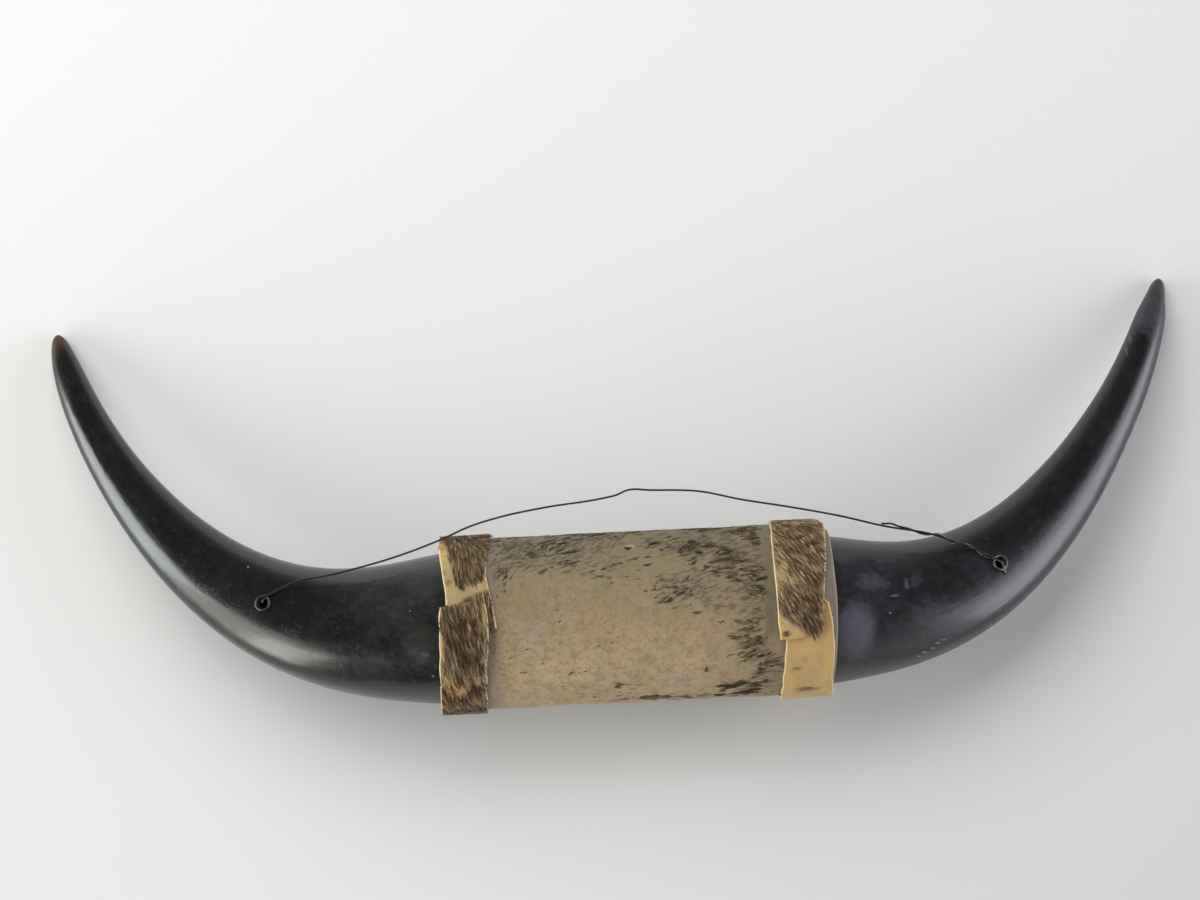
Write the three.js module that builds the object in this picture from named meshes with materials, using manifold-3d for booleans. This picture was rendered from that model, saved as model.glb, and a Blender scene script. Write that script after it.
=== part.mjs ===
// A pair of polished buffalo horns on a turned wooden core wrapped in cow hide, with a hide band
// round each end of the core and a steel hanging wire tied to both horns. Millimetres, +Z up.
// The pair lies on its front: the bands and both horn tips touch z = 0, and the back, where the
// wire is, faces up. X runs along the core, and the tips point towards +Y.
import * as THREE from "three";
import { mergeVertices } from "three/addons/utils/BufferGeometryUtils.js";
import Module from "manifold-3d";

// Pieces that touch keep this gap, and the core's axis is this high above the surface.
const GAP = 0.3;
const AXIS_HEIGHT = 53.17;

// Core: a turned block with a round tenon at each end, which goes into a horn's socket.
const CORE_RADIUS = 49.8;
const CORE_HALF_LENGTH = 109.6;
const CORE_EDGE_ROUNDING = 7;
const CORE_SIDES = 32;
const TENON_RADIUS = 24;
const TENON_LENGTH = 21;

// Hide: the places along the core and inner radii of its profile, from the right end to the left.
// It is straight over the core and drawn in a little over the horns' bases at both ends.
const WRAP_THICKNESS = 1.9;
const WRAP_SEAM_GAP = 1.5;
const WRAP_SIDES = 56;
const WRAP_PROFILE = [
  [117.5, 47.4],
  [112.5, 49.2],
  [106.5, 50.1],
  [-113.5, 50.1],
  [-120.5, 48.9],
];
const WRAP_RADIUS = 52;

// Bands: a band is a straight strip wound once round the core, from the end underneath to the end
// on top, which rises over the start between two turned angles. Angles are in degrees from +Z
// towards +Y, and middles are where the strip's middle line lies along the core, start to end.
const BAND_THICKNESS = 1.8;
const BAND_INNER_RADIUS = 52.3;
const BAND_OVERLAP_RISE = 2.15;
const OVERLAP_RISE_FROM = 310;
const OVERLAP_RISE_TO = 356;
const BAND_STEPS = 78;
const LEFT_BAND = {
  startAngle: -9.5,
  turn: 379,
  width: 31.5,
  middles: [-98.5, -110, -104, -107, -103.7],
};
const RIGHT_BAND = {
  startAngle: 4,
  turn: -388.5,
  width: 30,
  middles: [101.5, 98, 101, 100, 95.5],
};

// Horns: heading is the centreline's angle from the core's axis, radius is half the section's width,
// and depth is the section's thickness as a share of its width. All are blended along the horn from
// the control values listed, base first. A wire hole's place is its share of the horn's length, and
// its angle goes round the section from the inner side up over the back.
const HORN_BASE = 110;
const HORN_RINGS = 34;
const HORN_SIDES = 28;
const SECTION_DEPTHS = [0.98, 0.8, 0.92];
const RIDGE_HEIGHT = 0.035;
const RIDGE_ANGLE = 28;
const RIDGE_WIDTH = 15;
const RIDGE_FULL_FROM = 0.25;
const TIP_ROUNDING = 8;
const SOCKET_RADIUS = 32;
const SOCKET_DEPTH = 22.5;
const LEFT_HORN = {
  side: -1,
  length: 366,
  baseShift: -1.9,
  tipHeight: 2.67,
  headings: [0, -12, 66, 41, 65, 74],
  radii: [47.4, 31.2, 9.0, 14.1],
  wireHole: { place: 0.3195, angle: 90 },
};
const RIGHT_HORN = {
  side: 1,
  length: 349.5,
  baseShift: -1.5,
  tipHeight: 2.54,
  headings: [0, -10, 87, 28, 72, 70],
  radii: [46.2, 28.8, 9.9, 13.7],
  wireHole: { place: 0.3155, angle: 94.5 },
};

// Hanging wire: its ends are rings round the mouths of the holes drilled in the horns' backs.
const WIRE_DIAMETER = 1.2;
const WIRE_SIDES = 8;
const WIRE_STEPS = 80;
const WIRE_HOLE_RADIUS = 2.6;
const WIRE_HOLE_DEPTH = 10;
const RING_RADIUS = 4.2;
const RING_TUBE_RADIUS = 0.8;
const WIRE_ROUTE = [
  [-223.5, 21.4, 77.2],
  [-215.6, 24.6, 77.4],
  [-209.3, 27.4, 77.5],
  [-199.3, 29.6, 77.8],
  [-185.3, 31.3, 78.4],
  [-173.0, 33.7, 78.9],
  [-145.5, 40.2, 79.6],
  [-117.9, 49.2, 80.0],
  [-98.9, 57.0, 79.0],
  [-81.2, 61.8, 77.6],
  [-51.9, 66.9, 75.6],
  [-20.7, 70.5, 74.1],
  [-10.2, 72.5, 73.7],
  [-2.8, 75.3, 73.5],
  [10.6, 74.6, 73.4],
  [41.6, 72.2, 73.6],
  [64.4, 66.4, 74.0],
  [95.1, 59.9, 74.7],
  [125.6, 52.7, 75.4],
  [151.2, 45.3, 75.9],
  [181.6, 38.3, 76.2],
  [199.8, 30.6, 76.5],
  [207.6, 27.2, 76.9],
  [214.6, 23.0, 77.2],
];

// Tacks: where each is along the core, its angle from +Z towards +Y, and how far from the axis is
// the surface that it is driven into.
const TACK_HEAD_RADIUS = 1.7;
const TACK_HEAD_HEIGHT = 0.5;
const TACK_SHANK_RADIUS = 0.6;
const TACK_LENGTH = 9;
const RIGHT_BAND_TACK = {
  along: 85.6,
  angle: -21,
  surface: BAND_INNER_RADIUS + BAND_THICKNESS + BAND_OVERLAP_RISE,
};
const WRAP_TACK = { along: 38.2, angle: -46.2, surface: WRAP_RADIUS };
const TACKS = [RIGHT_BAND_TACK, WRAP_TACK];

const HORN_COLOUR = 0x1d1e1c;
const WOOD_COLOUR = 0xa9825a;
const HIDE_COLOUR = 0x9d8b6c;
const BAND_COLOUR = 0x6b5638;
const STEEL_COLOUR = 0x6e6e6c;

const wasm = await Module();
wasm.setup();

const { clamp, degToRad, lerp, radToDeg, smoothstep } = THREE.MathUtils;

function finish(colour, roughness, metalness = 0) {
  return new THREE.MeshStandardMaterial({ color: colour, roughness, metalness });
}

function toSolid(geometry) {
  const bare = geometry.clone();
  bare.deleteAttribute("normal");
  bare.deleteAttribute("uv");
  const merged = mergeVertices(bare, 1e-4);
  return new wasm.Manifold(
    new wasm.Mesh({
      numProp: 3,
      vertProperties: new Float32Array(merged.attributes.position.array),
      triVerts: new Uint32Array(merged.index.array),
    }),
  );
}

function toGeometry(solid) {
  const { vertProperties, triVerts } = solid.getMesh();
  const geometry = new THREE.BufferGeometry();
  geometry.setAttribute("position", new THREE.BufferAttribute(vertProperties, 3));
  geometry.setIndex(new THREE.BufferAttribute(triVerts, 1));
  return geometry;
}

function cutAway(geometry, ...cutters) {
  let solid = toSolid(geometry);
  for (const cutter of cutters) {
    solid = solid.subtract(toSolid(cutter));
  }
  return toGeometry(solid);
}

// Bezier blend of a list of control values at t: each value is mixed with the next by t, and so are
// the results, until one is left.
function blend(values, t) {
  let level = values;
  while (level.length > 1) {
    level = level.slice(1).map((value, i) => lerp(level[i], value, t));
  }
  return level[0];
}

// A horn's centreline: the heading turns it in plan, and its height falls with the square of the
// distance from the base, so that the tip comes down to the surface the pair lies on.
function centreline(horn, steps = 240) {
  const drop = AXIS_HEIGHT - horn.tipHeight;
  const frames = [];
  let x = 0;
  let y = 0;
  for (let i = 0; i <= steps; i++) {
    const t = i / steps;
    const heading = degToRad(blend(horn.headings, t));
    const fall = (-2 * drop * t) / horn.length;
    const level = Math.sqrt(1 - fall * fall);
    const along = new THREE.Vector3(horn.side * Math.cos(heading) * level, Math.sin(heading) * level, fall);
    const inward = new THREE.Vector3(-horn.side * Math.sin(heading), Math.cos(heading), 0);
    if (i > 0) {
      const last = frames[i - 1].along;
      const halfStep = horn.length / steps / 2;
      x += (last.x + along.x) * halfStep;
      y += (last.y + along.y) * halfStep;
    }
    const height = AXIS_HEIGHT - drop * t * t;
    const point = new THREE.Vector3(horn.side * HORN_BASE + x, horn.baseShift + y, height);
    frames.push({ point, along, inward });
  }
  return (t) => {
    const place = clamp(t, 0, 1) * steps;
    const i = Math.min(Math.floor(place), steps - 1);
    const mix = place - i;
    const point = frames[i].point.clone().lerp(frames[i + 1].point, mix);
    const along = frames[i].along.clone().lerp(frames[i + 1].along, mix).normalize();
    const inward = frames[i].inward.clone().lerp(frames[i + 1].inward, mix).normalize();
    const across = inward.clone().cross(along);
    return { point, inward, across, upSign: Math.sign(across.z) };
  };
}

function hornRadius(horn, t) {
  return blend(horn.radii, t) * Math.sqrt(1 - Math.pow(t, TIP_ROUNDING));
}

// A point of the horn's section at t, from its place in a plain round section. The section is an
// oval with a low rounded ridge on the upper part of its outer flank.
function sectionPoint(frame, t, inward, up) {
  const angle = radToDeg(Math.atan2(up, -inward));
  const away = (angle - RIDGE_ANGLE) / RIDGE_WIDTH;
  const swell = 1 + RIDGE_HEIGHT * Math.exp(-away * away) * smoothstep(t, 0, RIDGE_FULL_FROM);
  return frame.point
    .addScaledVector(frame.inward, inward * swell)
    .addScaledVector(frame.across, frame.upSign * up * swell * blend(SECTION_DEPTHS, t));
}

function hornGeometry(horn) {
  const profile = [
    new THREE.Vector2(0, SOCKET_DEPTH),
    new THREE.Vector2(SOCKET_RADIUS, SOCKET_DEPTH),
    new THREE.Vector2(SOCKET_RADIUS, 0),
  ];
  for (let i = 0; i < HORN_RINGS; i++) {
    const t = Math.sin((i / HORN_RINGS) * (Math.PI / 2));
    profile.push(new THREE.Vector2(hornRadius(horn, t), t * horn.length));
  }
  profile.push(new THREE.Vector2(0, horn.length));
  const geometry = new THREE.LatheGeometry(profile, HORN_SIDES);
  const frameAt = centreline(horn);
  const position = geometry.attributes.position;
  const vertex = new THREE.Vector3();
  for (let i = 0; i < position.count; i++) {
    vertex.fromBufferAttribute(position, i);
    const t = vertex.y / horn.length;
    const frame = frameAt(t);
    const point = sectionPoint(frame, t, vertex.x, vertex.z * frame.upSign);
    position.setXYZ(i, point.x, point.y, point.z);
  }
  return geometry;
}

// Where the wire hole opens on the horn's back, and the outward normal there, from the surface's
// slopes along the horn and round it.
function wireHole(horn) {
  const frameAt = centreline(horn);
  const { place, angle } = horn.wireHole;
  const surface = (t, degrees) => {
    const radius = hornRadius(horn, t);
    const turn = degToRad(degrees);
    return sectionPoint(frameAt(t), t, radius * Math.cos(turn), radius * Math.sin(turn));
  };
  const nearby = 0.005;
  const slopeAlong = surface(place + nearby, angle).sub(surface(place - nearby, angle));
  const slopeRound = surface(place, angle + 1).sub(surface(place, angle - 1));
  const normal = slopeAlong.cross(slopeRound).normalize();
  normal.multiplyScalar(Math.sign(normal.z));
  return { mouth: surface(place, angle), normal };
}

// Turns a shape that stands along +Y so that it stands along the given direction at a place.
function stand(geometry, place, direction) {
  const turn = new THREE.Quaternion().setFromUnitVectors(new THREE.Vector3(0, 1, 0), direction);
  return geometry.applyQuaternion(turn).translate(place.x, place.y, place.z);
}

function drilledHorn(horn) {
  const { mouth, normal } = wireHole(horn);
  const drill = new THREE.CylinderGeometry(WIRE_HOLE_RADIUS, WIRE_HOLE_RADIUS, 2 * WIRE_HOLE_DEPTH, 16);
  return cutAway(hornGeometry(horn), stand(drill, mouth, normal));
}

function wireRing(horn) {
  const { mouth, normal } = wireHole(horn);
  const ring = new THREE.TorusGeometry(RING_RADIUS, RING_TUBE_RADIUS, 8, 24).rotateX(Math.PI / 2);
  return stand(ring, mouth.addScaledVector(normal, RING_TUBE_RADIUS + GAP), normal);
}

// Turns an outline of places along the core and radii about the core's axis, which is X.
function turned(outline, sides) {
  const profile = outline.map(([along, radius]) => new THREE.Vector2(radius, along));
  return new THREE.LatheGeometry(profile, sides).rotateZ(-Math.PI / 2).translate(0, 0, AXIS_HEIGHT);
}

function coreGeometry() {
  const arcSteps = 4;
  const shoulder = CORE_RADIUS - CORE_EDGE_ROUNDING;
  const tenonEnd = CORE_HALF_LENGTH + TENON_LENGTH;
  const halfProfile = [];
  for (let i = 0; i <= arcSteps; i++) {
    const angle = (i / arcSteps) * (Math.PI / 2);
    halfProfile.push([
      CORE_HALF_LENGTH - CORE_EDGE_ROUNDING * (1 - Math.sin(angle)),
      shoulder + CORE_EDGE_ROUNDING * Math.cos(angle),
    ]);
  }
  halfProfile.push([CORE_HALF_LENGTH, TENON_RADIUS], [tenonEnd, TENON_RADIUS], [tenonEnd, 0]);
  const otherHalf = halfProfile.map(([along, radius]) => [-along, radius]).reverse();
  return turned([...otherHalf, ...halfProfile], CORE_SIDES);
}

// The hide's two edges meet along the underside with a narrow seam between them.
function wrapGeometry() {
  const outer = WRAP_PROFILE.map(([along, radius]) => [along, radius + WRAP_THICKNESS]).reverse();
  const loop = [...WRAP_PROFILE, ...outer, WRAP_PROFILE[0]];
  const seam = new THREE.BoxGeometry(3 * CORE_HALF_LENGTH, WRAP_SEAM_GAP, 2 * CORE_RADIUS);
  return cutAway(turned(loop, WRAP_SIDES), seam, ...TACKS.map(tackHole));
}

// The underside is flat where the band rests on the surface.
function bandGeometry({ startAngle, turn, width, middles }) {
  const strip = new THREE.BoxGeometry(width, BAND_THICKNESS, 1, 1, 1, BAND_STEPS);
  const position = strip.attributes.position;
  const middleRadius = BAND_INNER_RADIUS + BAND_THICKNESS / 2;
  for (let i = 0; i < position.count; i++) {
    const t = 0.5 - Math.sign(turn) * position.getZ(i);
    const angle = degToRad(startAngle + turn * t);
    const lift = smoothstep(t * Math.abs(turn), OVERLAP_RISE_FROM, OVERLAP_RISE_TO);
    const radius = middleRadius + BAND_OVERLAP_RISE * lift + position.getY(i);
    const along = position.getX(i) + blend(middles, t);
    const height = AXIS_HEIGHT + radius * Math.cos(angle);
    position.setXYZ(i, along, radius * Math.sin(angle), Math.max(height, 0));
  }
  return strip;
}

function placeTack(geometry, { along, angle, surface }) {
  const outward = new THREE.Vector3(0, Math.sin(degToRad(angle)), Math.cos(degToRad(angle)));
  const place = new THREE.Vector3(along, 0, AXIS_HEIGHT).addScaledVector(outward, surface);
  return stand(geometry, place, outward);
}

function tackGeometry(tack) {
  const profile = [
    [0, -TACK_LENGTH],
    [TACK_SHANK_RADIUS, 2 * TACK_SHANK_RADIUS - TACK_LENGTH],
    [TACK_SHANK_RADIUS, GAP],
    [TACK_HEAD_RADIUS, GAP],
    [TACK_HEAD_RADIUS * 0.75, GAP + TACK_HEAD_HEIGHT],
    [0, GAP + TACK_HEAD_HEIGHT * 1.6],
  ];
  const points = profile.map(([radius, along]) => new THREE.Vector2(radius, along));
  return placeTack(new THREE.LatheGeometry(points, 10), tack);
}

// The hole runs a little deeper than the tack and opens above the surface.
function tackHole(tack) {
  const radius = TACK_SHANK_RADIUS + GAP;
  const top = 2;
  const bottom = -TACK_LENGTH - 1;
  const hole = new THREE.CylinderGeometry(radius, radius, top - bottom, 8);
  return placeTack(hole.translate(0, (top + bottom) / 2, 0), tack);
}

function wireGeometry() {
  const route = new THREE.CatmullRomCurve3(WIRE_ROUTE.map((place) => new THREE.Vector3(...place)));
  const section = new THREE.Shape();
  for (let i = 0; i < WIRE_SIDES; i++) {
    const angle = (i / WIRE_SIDES) * 2 * Math.PI;
    const corner = [Math.cos(angle), Math.sin(angle)].map((part) => (part * WIRE_DIAMETER) / 2);
    if (i === 0) {
      section.moveTo(...corner);
    } else {
      section.lineTo(...corner);
    }
  }
  return new THREE.ExtrudeGeometry(section, { steps: WIRE_STEPS, bevelEnabled: false, extrudePath: route });
}

const horn = finish(HORN_COLOUR, 0.25);
const wood = finish(WOOD_COLOUR, 0.7);
const hide = finish(HIDE_COLOUR, 0.75);
const hairedHide = finish(BAND_COLOUR, 0.85);
const tackSteel = finish(STEEL_COLOUR, 0.5, 1);
const wireSteel = finish(STEEL_COLOUR, 0.4, 1);

const pair = new THREE.Group();

function addPiece(name, geometry, material) {
  const mesh = new THREE.Mesh(geometry, material);
  mesh.name = name;
  pair.add(mesh);
}

addPiece("left_horn", drilledHorn(LEFT_HORN), horn);
addPiece("right_horn", drilledHorn(RIGHT_HORN), horn);
addPiece("wood_core", cutAway(coreGeometry(), ...TACKS.map(tackHole)), wood);
addPiece("hide_wrap", wrapGeometry(), hide);
addPiece("left_band", bandGeometry(LEFT_BAND), hairedHide);
addPiece("right_band", cutAway(bandGeometry(RIGHT_BAND), tackHole(RIGHT_BAND_TACK)), hairedHide);
addPiece("right_band_tack", tackGeometry(RIGHT_BAND_TACK), tackSteel);
addPiece("wrap_tack", tackGeometry(WRAP_TACK), tackSteel);
addPiece("hanging_wire", wireGeometry(), wireSteel);
addPiece("left_wire_ring", wireRing(LEFT_HORN), wireSteel);
addPiece("right_wire_ring", wireRing(RIGHT_HORN), wireSteel);

// The origin is under the middle of the pair's box, on the surface it lies on.
const middle = new THREE.Box3().setFromObject(pair).getCenter(new THREE.Vector3());
pair.position.set(-middle.x, -middle.y, 0);

export default pair;
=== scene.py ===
"""A pair of polished buffalo horns on a roll wrapped in cow hide, with a band of hair-on hide round
each end of the roll and a steel hanging wire tied to both horns.

Each piece is a surface worked out with numpy from a few sizes, and each finish is a node material.
"""

import math

import bpy
import numpy as np
from bpy.props import FloatProperty, FloatVectorProperty, IntProperty, PointerProperty
from mathutils import Matrix, Vector


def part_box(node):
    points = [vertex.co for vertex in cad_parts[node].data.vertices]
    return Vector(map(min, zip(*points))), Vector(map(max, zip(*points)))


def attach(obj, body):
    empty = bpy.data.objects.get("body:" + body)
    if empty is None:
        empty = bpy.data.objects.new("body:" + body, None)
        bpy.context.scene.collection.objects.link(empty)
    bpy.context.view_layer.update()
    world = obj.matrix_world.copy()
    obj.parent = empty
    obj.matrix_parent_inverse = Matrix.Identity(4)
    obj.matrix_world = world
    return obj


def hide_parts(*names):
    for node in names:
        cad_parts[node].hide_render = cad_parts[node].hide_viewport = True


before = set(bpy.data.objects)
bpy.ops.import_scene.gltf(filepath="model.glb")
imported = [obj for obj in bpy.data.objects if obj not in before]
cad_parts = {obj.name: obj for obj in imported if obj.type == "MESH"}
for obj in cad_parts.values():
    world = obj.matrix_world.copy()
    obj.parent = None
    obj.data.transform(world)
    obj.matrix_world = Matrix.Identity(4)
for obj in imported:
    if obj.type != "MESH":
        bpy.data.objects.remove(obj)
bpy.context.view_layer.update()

bl_info = {
    "name": "Buffalo Horn Pair",
    "version": (1, 0, 0),
    "blender": (4, 5, 0),
    "location": "3D View > Sidebar > Horn Pair",
    "description": "Builds a wall pair of polished buffalo horns on a hide-wrapped roll",
    "category": "Add Mesh",
}

MM = 0.001
ORIGIN = (0.0, 0.0, 0.0)

# The roll's axis runs along X through the middle of the wooden core. Places on the roll are given
# by the distance along it, the angle from straight up towards +Y in degrees, and the radius.
CORE_LOW, CORE_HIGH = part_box("wood_core")
ROLL = np.array((CORE_LOW + CORE_HIGH) / 2)

# Hide on the roll: the middle of its thickness is at one radius, and drawn in at both ends, each
# given by its place, the place where the hide is level again and the depth. The two ends' edges are
# given by angles in degrees and places along the roll, and the seam by half its opening in degrees.
WRAP_THICKNESS = 1.9 * MM
WRAP_WIDTH = 0.235
WRAP_START_ANGLES = [-180, -60, -5, 8, 28, 58, 100, 180]
WRAP_START_PLACES = np.array([-118.5, -118.5, -115.5, -112.8, -114.6, -117.6, -118.5, -118.5]) * MM
WRAP_RADIUS = 51.05 * MM
WRAP_DRAWN_IN = {"left": (-120.5 * MM, -113.5 * MM, 1.2 * MM), "right": (117.5 * MM, 106.5 * MM, 2.7 * MM)}
WRAP_END_ANGLES = [-180, -67, -28, 0, 26, 57, 82, 180]
WRAP_END_PLACES = np.array([115.6, 115.6, 116.9, 117.5, 117.2, 117.2, 115.6, 115.6]) * MM
WRAP_SEAM_ANGLE = 0.85
NAIL_HOLE = (-4.7 * MM, 46.3)
NAIL_HOLE_RADIUS = 1.1 * MM

# Areas of the roll where tufts of dark hair are left: the centre and the size (millimetres along,
# degrees round), the share of places that have a tuft, the heading from the roll's axis in degrees
# and the length in millimetres.
TUFT_AREAS = [
    ((-80, 50), (10, 32), 0.54, 60, 4.4),
    ((-62, 62), (30, 20), 0.64, 50, 4.8),
    ((-26, 58), (24, 19), 0.62, 44, 4.8),
    ((0, 82), (50, 13), 0.70, 28, 4.8),
    ((-5, 118), (85, 36), 0.48, 30, 4.2),
    ((-52, 40), (34, 13), 0.50, 26, 4.4),
    ((-24, 32), (26, 12), 0.36, 6, 4.2),
    ((-8, 16), (22, 10), 0.14, 14, 3.2),
    ((36, 58), (32, 28), 0.66, 14, 5.2),
    ((62, 46), (22, 38), 0.68, 12, 5.6),
    ((58, 29), (18, 7), 0.55, 14, 5.8),
    ((28, 12), (21, 14), 0.50, 26, 4.2),
    ((48, 4), (14, 13), 0.45, -30, 4.0),
    ((66, 12), (13, 20), 0.55, -12, 4.8),
    ((65, -12), (11, 14), 0.46, -12, 4.6),
    ((67, -32), (12, 12), 0.48, 22, 6.8),
    ((76, -48), (11, 18), 0.48, 16, 6.8),
    ((68, -66), (20, 10), 0.34, 12, 7.6),
    ((26, -79), (62, 5), 0.46, 8, 5.2),
    ((-25, -64), (36, 10), 0.16, 8, 3.8),
    ((-50, -45), (40, 28), 0.06, 20, 2.6),
    ((-30, -5), (64, 32), 0.05, 24, 2.2),
    ((-40, -140), (44, 26), 0.20, 20, 4.2),
    ((30, -125), (50, 30), 0.25, 10, 4.6),
    ((10, 165), (70, 24), 0.30, 20, 4.2),
]
TUFT_LIES = np.array([[area[3] for area in TUFT_AREAS], [area[4] for area in TUFT_AREAS]])
TUFT_GAP_ALONG = 4.3
TUFT_GAP_ROUND = math.degrees(1.55 * MM / WRAP_RADIUS)

# Tints on the bald hide: the centre and size of each area in metres along and round, its share, and
# the colour as a multiple of the hide's own.
WRAP_TINTS = [
    ((-0.027, -0.008), (0.019, 0.015), 0.55, (1.20, 0.96, 0.86)),
    ((-0.009, -0.024), (0.011, 0.014), 0.50, (1.20, 0.97, 0.84)),
    ((0.031, -0.014), (0.019, 0.011), 0.45, (1.10, 0.90, 0.88)),
    ((-0.048, -0.040), (0.036, 0.022), 0.60, (1.20, 1.24, 1.10)),
    ((-0.058, 0.022), (0.014, 0.011), 0.50, (1.00, 1.02, 0.74)),
    ((-0.064, -0.014), (0.016, 0.014), 0.60, (1.02, 1.14, 1.40)),
    ((0.024, -0.047), (0.018, 0.012), 0.50, (0.98, 1.08, 1.42)),
    ((0.0015, -0.032), (0.007, 0.006), 0.50, (0.58, 0.62, 0.68)),
    ((0.040, 0.012), (0.040, 0.012), 0.40, (0.72, 0.72, 0.78)),
]

# Small spots on the bald hide: centre, size, share and colour. The last two are at the nail hole: a paler
# patch beside it, then the hole's dark inside, which is painted shade.
WRAP_SPOTS = [
    ((-0.0287, -0.0628), (0.0022, 0.0014), 0.8, (0.05, 0.035, 0.02)),
    ((-0.0358, -0.0583), (0.0015, 0.0010), 0.7, (0.06, 0.045, 0.025)),
    ((-0.0486, 0.0006), (0.0018, 0.0012), 0.6, (0.09, 0.065, 0.04)),
    ((-0.0220, 0.0200), (0.0040, 0.0014), 0.8, (0.07, 0.050, 0.025)),
    ((-0.0700, 0.0330), (0.0022, 0.0016), 0.8, (0.06, 0.045, 0.03)),
    ((0.0720, 0.0085), (0.0032, 0.0022), 0.9, (0.035, 0.030, 0.022)),
    ((0.0386, -0.0398), (0.0012, 0.0024), 0.9, (0.06, 0.040, 0.022)),
    ((-0.0036, 0.0424), (0.0042, 0.0028), 0.4, (0.50, 0.45, 0.33)),
    # Painted shade inside the nail hole.
    ((-0.0047, 0.0413), (0.0034, 0.0021), 1.0, (0.008, 0.006, 0.005)),
]

# Bands: each is a strip wound once round the roll, from the end underneath to the end on top. Both
# ends are wound angles in degrees at four places across, and the edges are given by wound angles and
# places along the roll in millimetres. Both edges curl up by the flare. The hair is combed one way,
# in degrees from the roll's axis, and stands loose round one place.
BAND_THICKNESS = 1.8 * MM
BAND_RADIUS = 53.2 * MM
BAND_OVERLAP_RISE = 2.15 * MM
OVERLAP_RISE_FROM = 310
OVERLAP_RISE_TO = 356
BANDS = {
    "left_band": {
        "start": [-9.5, -9.5, -9.5, -9.5],
        "end": [365.2, 366.1, 368.2, 371.8],
        "left_angles": [-10, 7, 28, 58, 180, 265, 285, 302, 325, 340, 358, 372],
        "left_edge": [
            -114.4, -113.9, -116.0, -119.1, -121, -122.8, -121.8, -120.6, -119.4, -118.9, -118.3, -116.6
        ],
        "right_angles": [-10, 9, 33, 63, 180, 270, 285, 323, 348, 359, 372],
        "right_edge": [-84.7, -87.2, -89.8, -89.6, -91.5, -94.5, -93.6, -91.8, -89.4, -89.6, -91.7],
        "flare": 0.0,
        "combed": -78,
        "loose": (-93, 68),
        "hair_length_share": 0.85,
        "seed": 61,
    },
    "right_band": {
        "start": [4, 4, 2, -2.5],
        "end": [-384.6, -384.8, -382.7, -379.6],
        "left_angles": [-385, -360, -334, -287, -180, -81, -48, -27, 4],
        "left_edge": [82.2, 81.2, 80.7, 82.3, 84.0, 83.4, 84.3, 85.6, 86.5],
        "right_angles": [-385, -380, -352, -325, -300, -285, -268, -240, -180, -77, -60, -34, -19, 4],
        "right_edge": [
            107.2, 107.6, 110.1, 113.1, 114.2, 111.5, 107.0, 110, 114.5, 114.9, 113.8, 114.5, 113.9, 111.5
        ],
        "flare": 0.35 * MM,
        "combed": -60,
        "loose": (100, -270),
        "hair_length_share": 0.6,
        "seed": 71,
    },
}

# Spots where the bands show skin: millimetres along and degrees wound, the size and the share.
LEFT_BARE_SPOTS = [
    ((-113.2, 320), (4.2, 11), 0.88),
    ((-117, 345), (2.0, 10), 0.8),
    ((-107, 309), (4.0, 6), 0.8),
    ((-103.5, 326), (1.8, 6), 0.9),
    ((-98, 318), (2.0, 8), 0.8),
    ((-92.6, 322), (1.8, 6), 0.9),
    ((-112, 290), (6.0, 5), 0.8),
    ((-98, 294), (6.0, 3), 0.8),
    ((-101, 352), (0.9, 8), 0.8),
    ((-104.5, 316), (2.0, 6), 0.8),
    ((-110, 306), (2.0, 4), 0.8),
    ((-95, 306), (1.6, 7), 0.8),
    ((-101, 303), (1.4, 6), 0.8),
    ((-91, 357), (1.3, 14), 0.85),
    ((-118.5, 320), (1.4, 60), 0.6),
]
RIGHT_BARE_SPOTS = [((84.8, -345), (5.0, 8), 0.95), ((97, -352), (6, 3), 0.5)]

# Where a band's hair is paler or darker than its mean, in the same way.
LEFT_HAIR_TONES = [
    ((-107, 352), (9, 15), -0.34),
    ((-90, 68), (6, 10), -0.3),
    ((-114, 325), (5, 22), 0.38),
    ((-92, 340), (2.5, 30), 0.30),
    ((-98, 325), (6, 6), 0.34),
    ((-104, 300), (14, 9), 0.18),
    ((-108, 300), (5, 6), -0.25),
    ((-97, 310), (5, 8), -0.15),
]
RIGHT_HAIR_TONES = [
    ((86, -343), (6, 12), 0.35),
    ((86, -374), (7, 8), 0.3),
    ((108, -280), (14, 16), 0.28),
    ((100, -372), (8, 10), -0.15),
]

# Rust-brown hair at the foot of the left band: centre, size, share and tint.
RUSTY_HAIR = ((-0.1010, -0.1215, 0.0865), (0.015, 0.012, 0.03), 0.8, (1.10, 0.77, 0.50))

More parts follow.
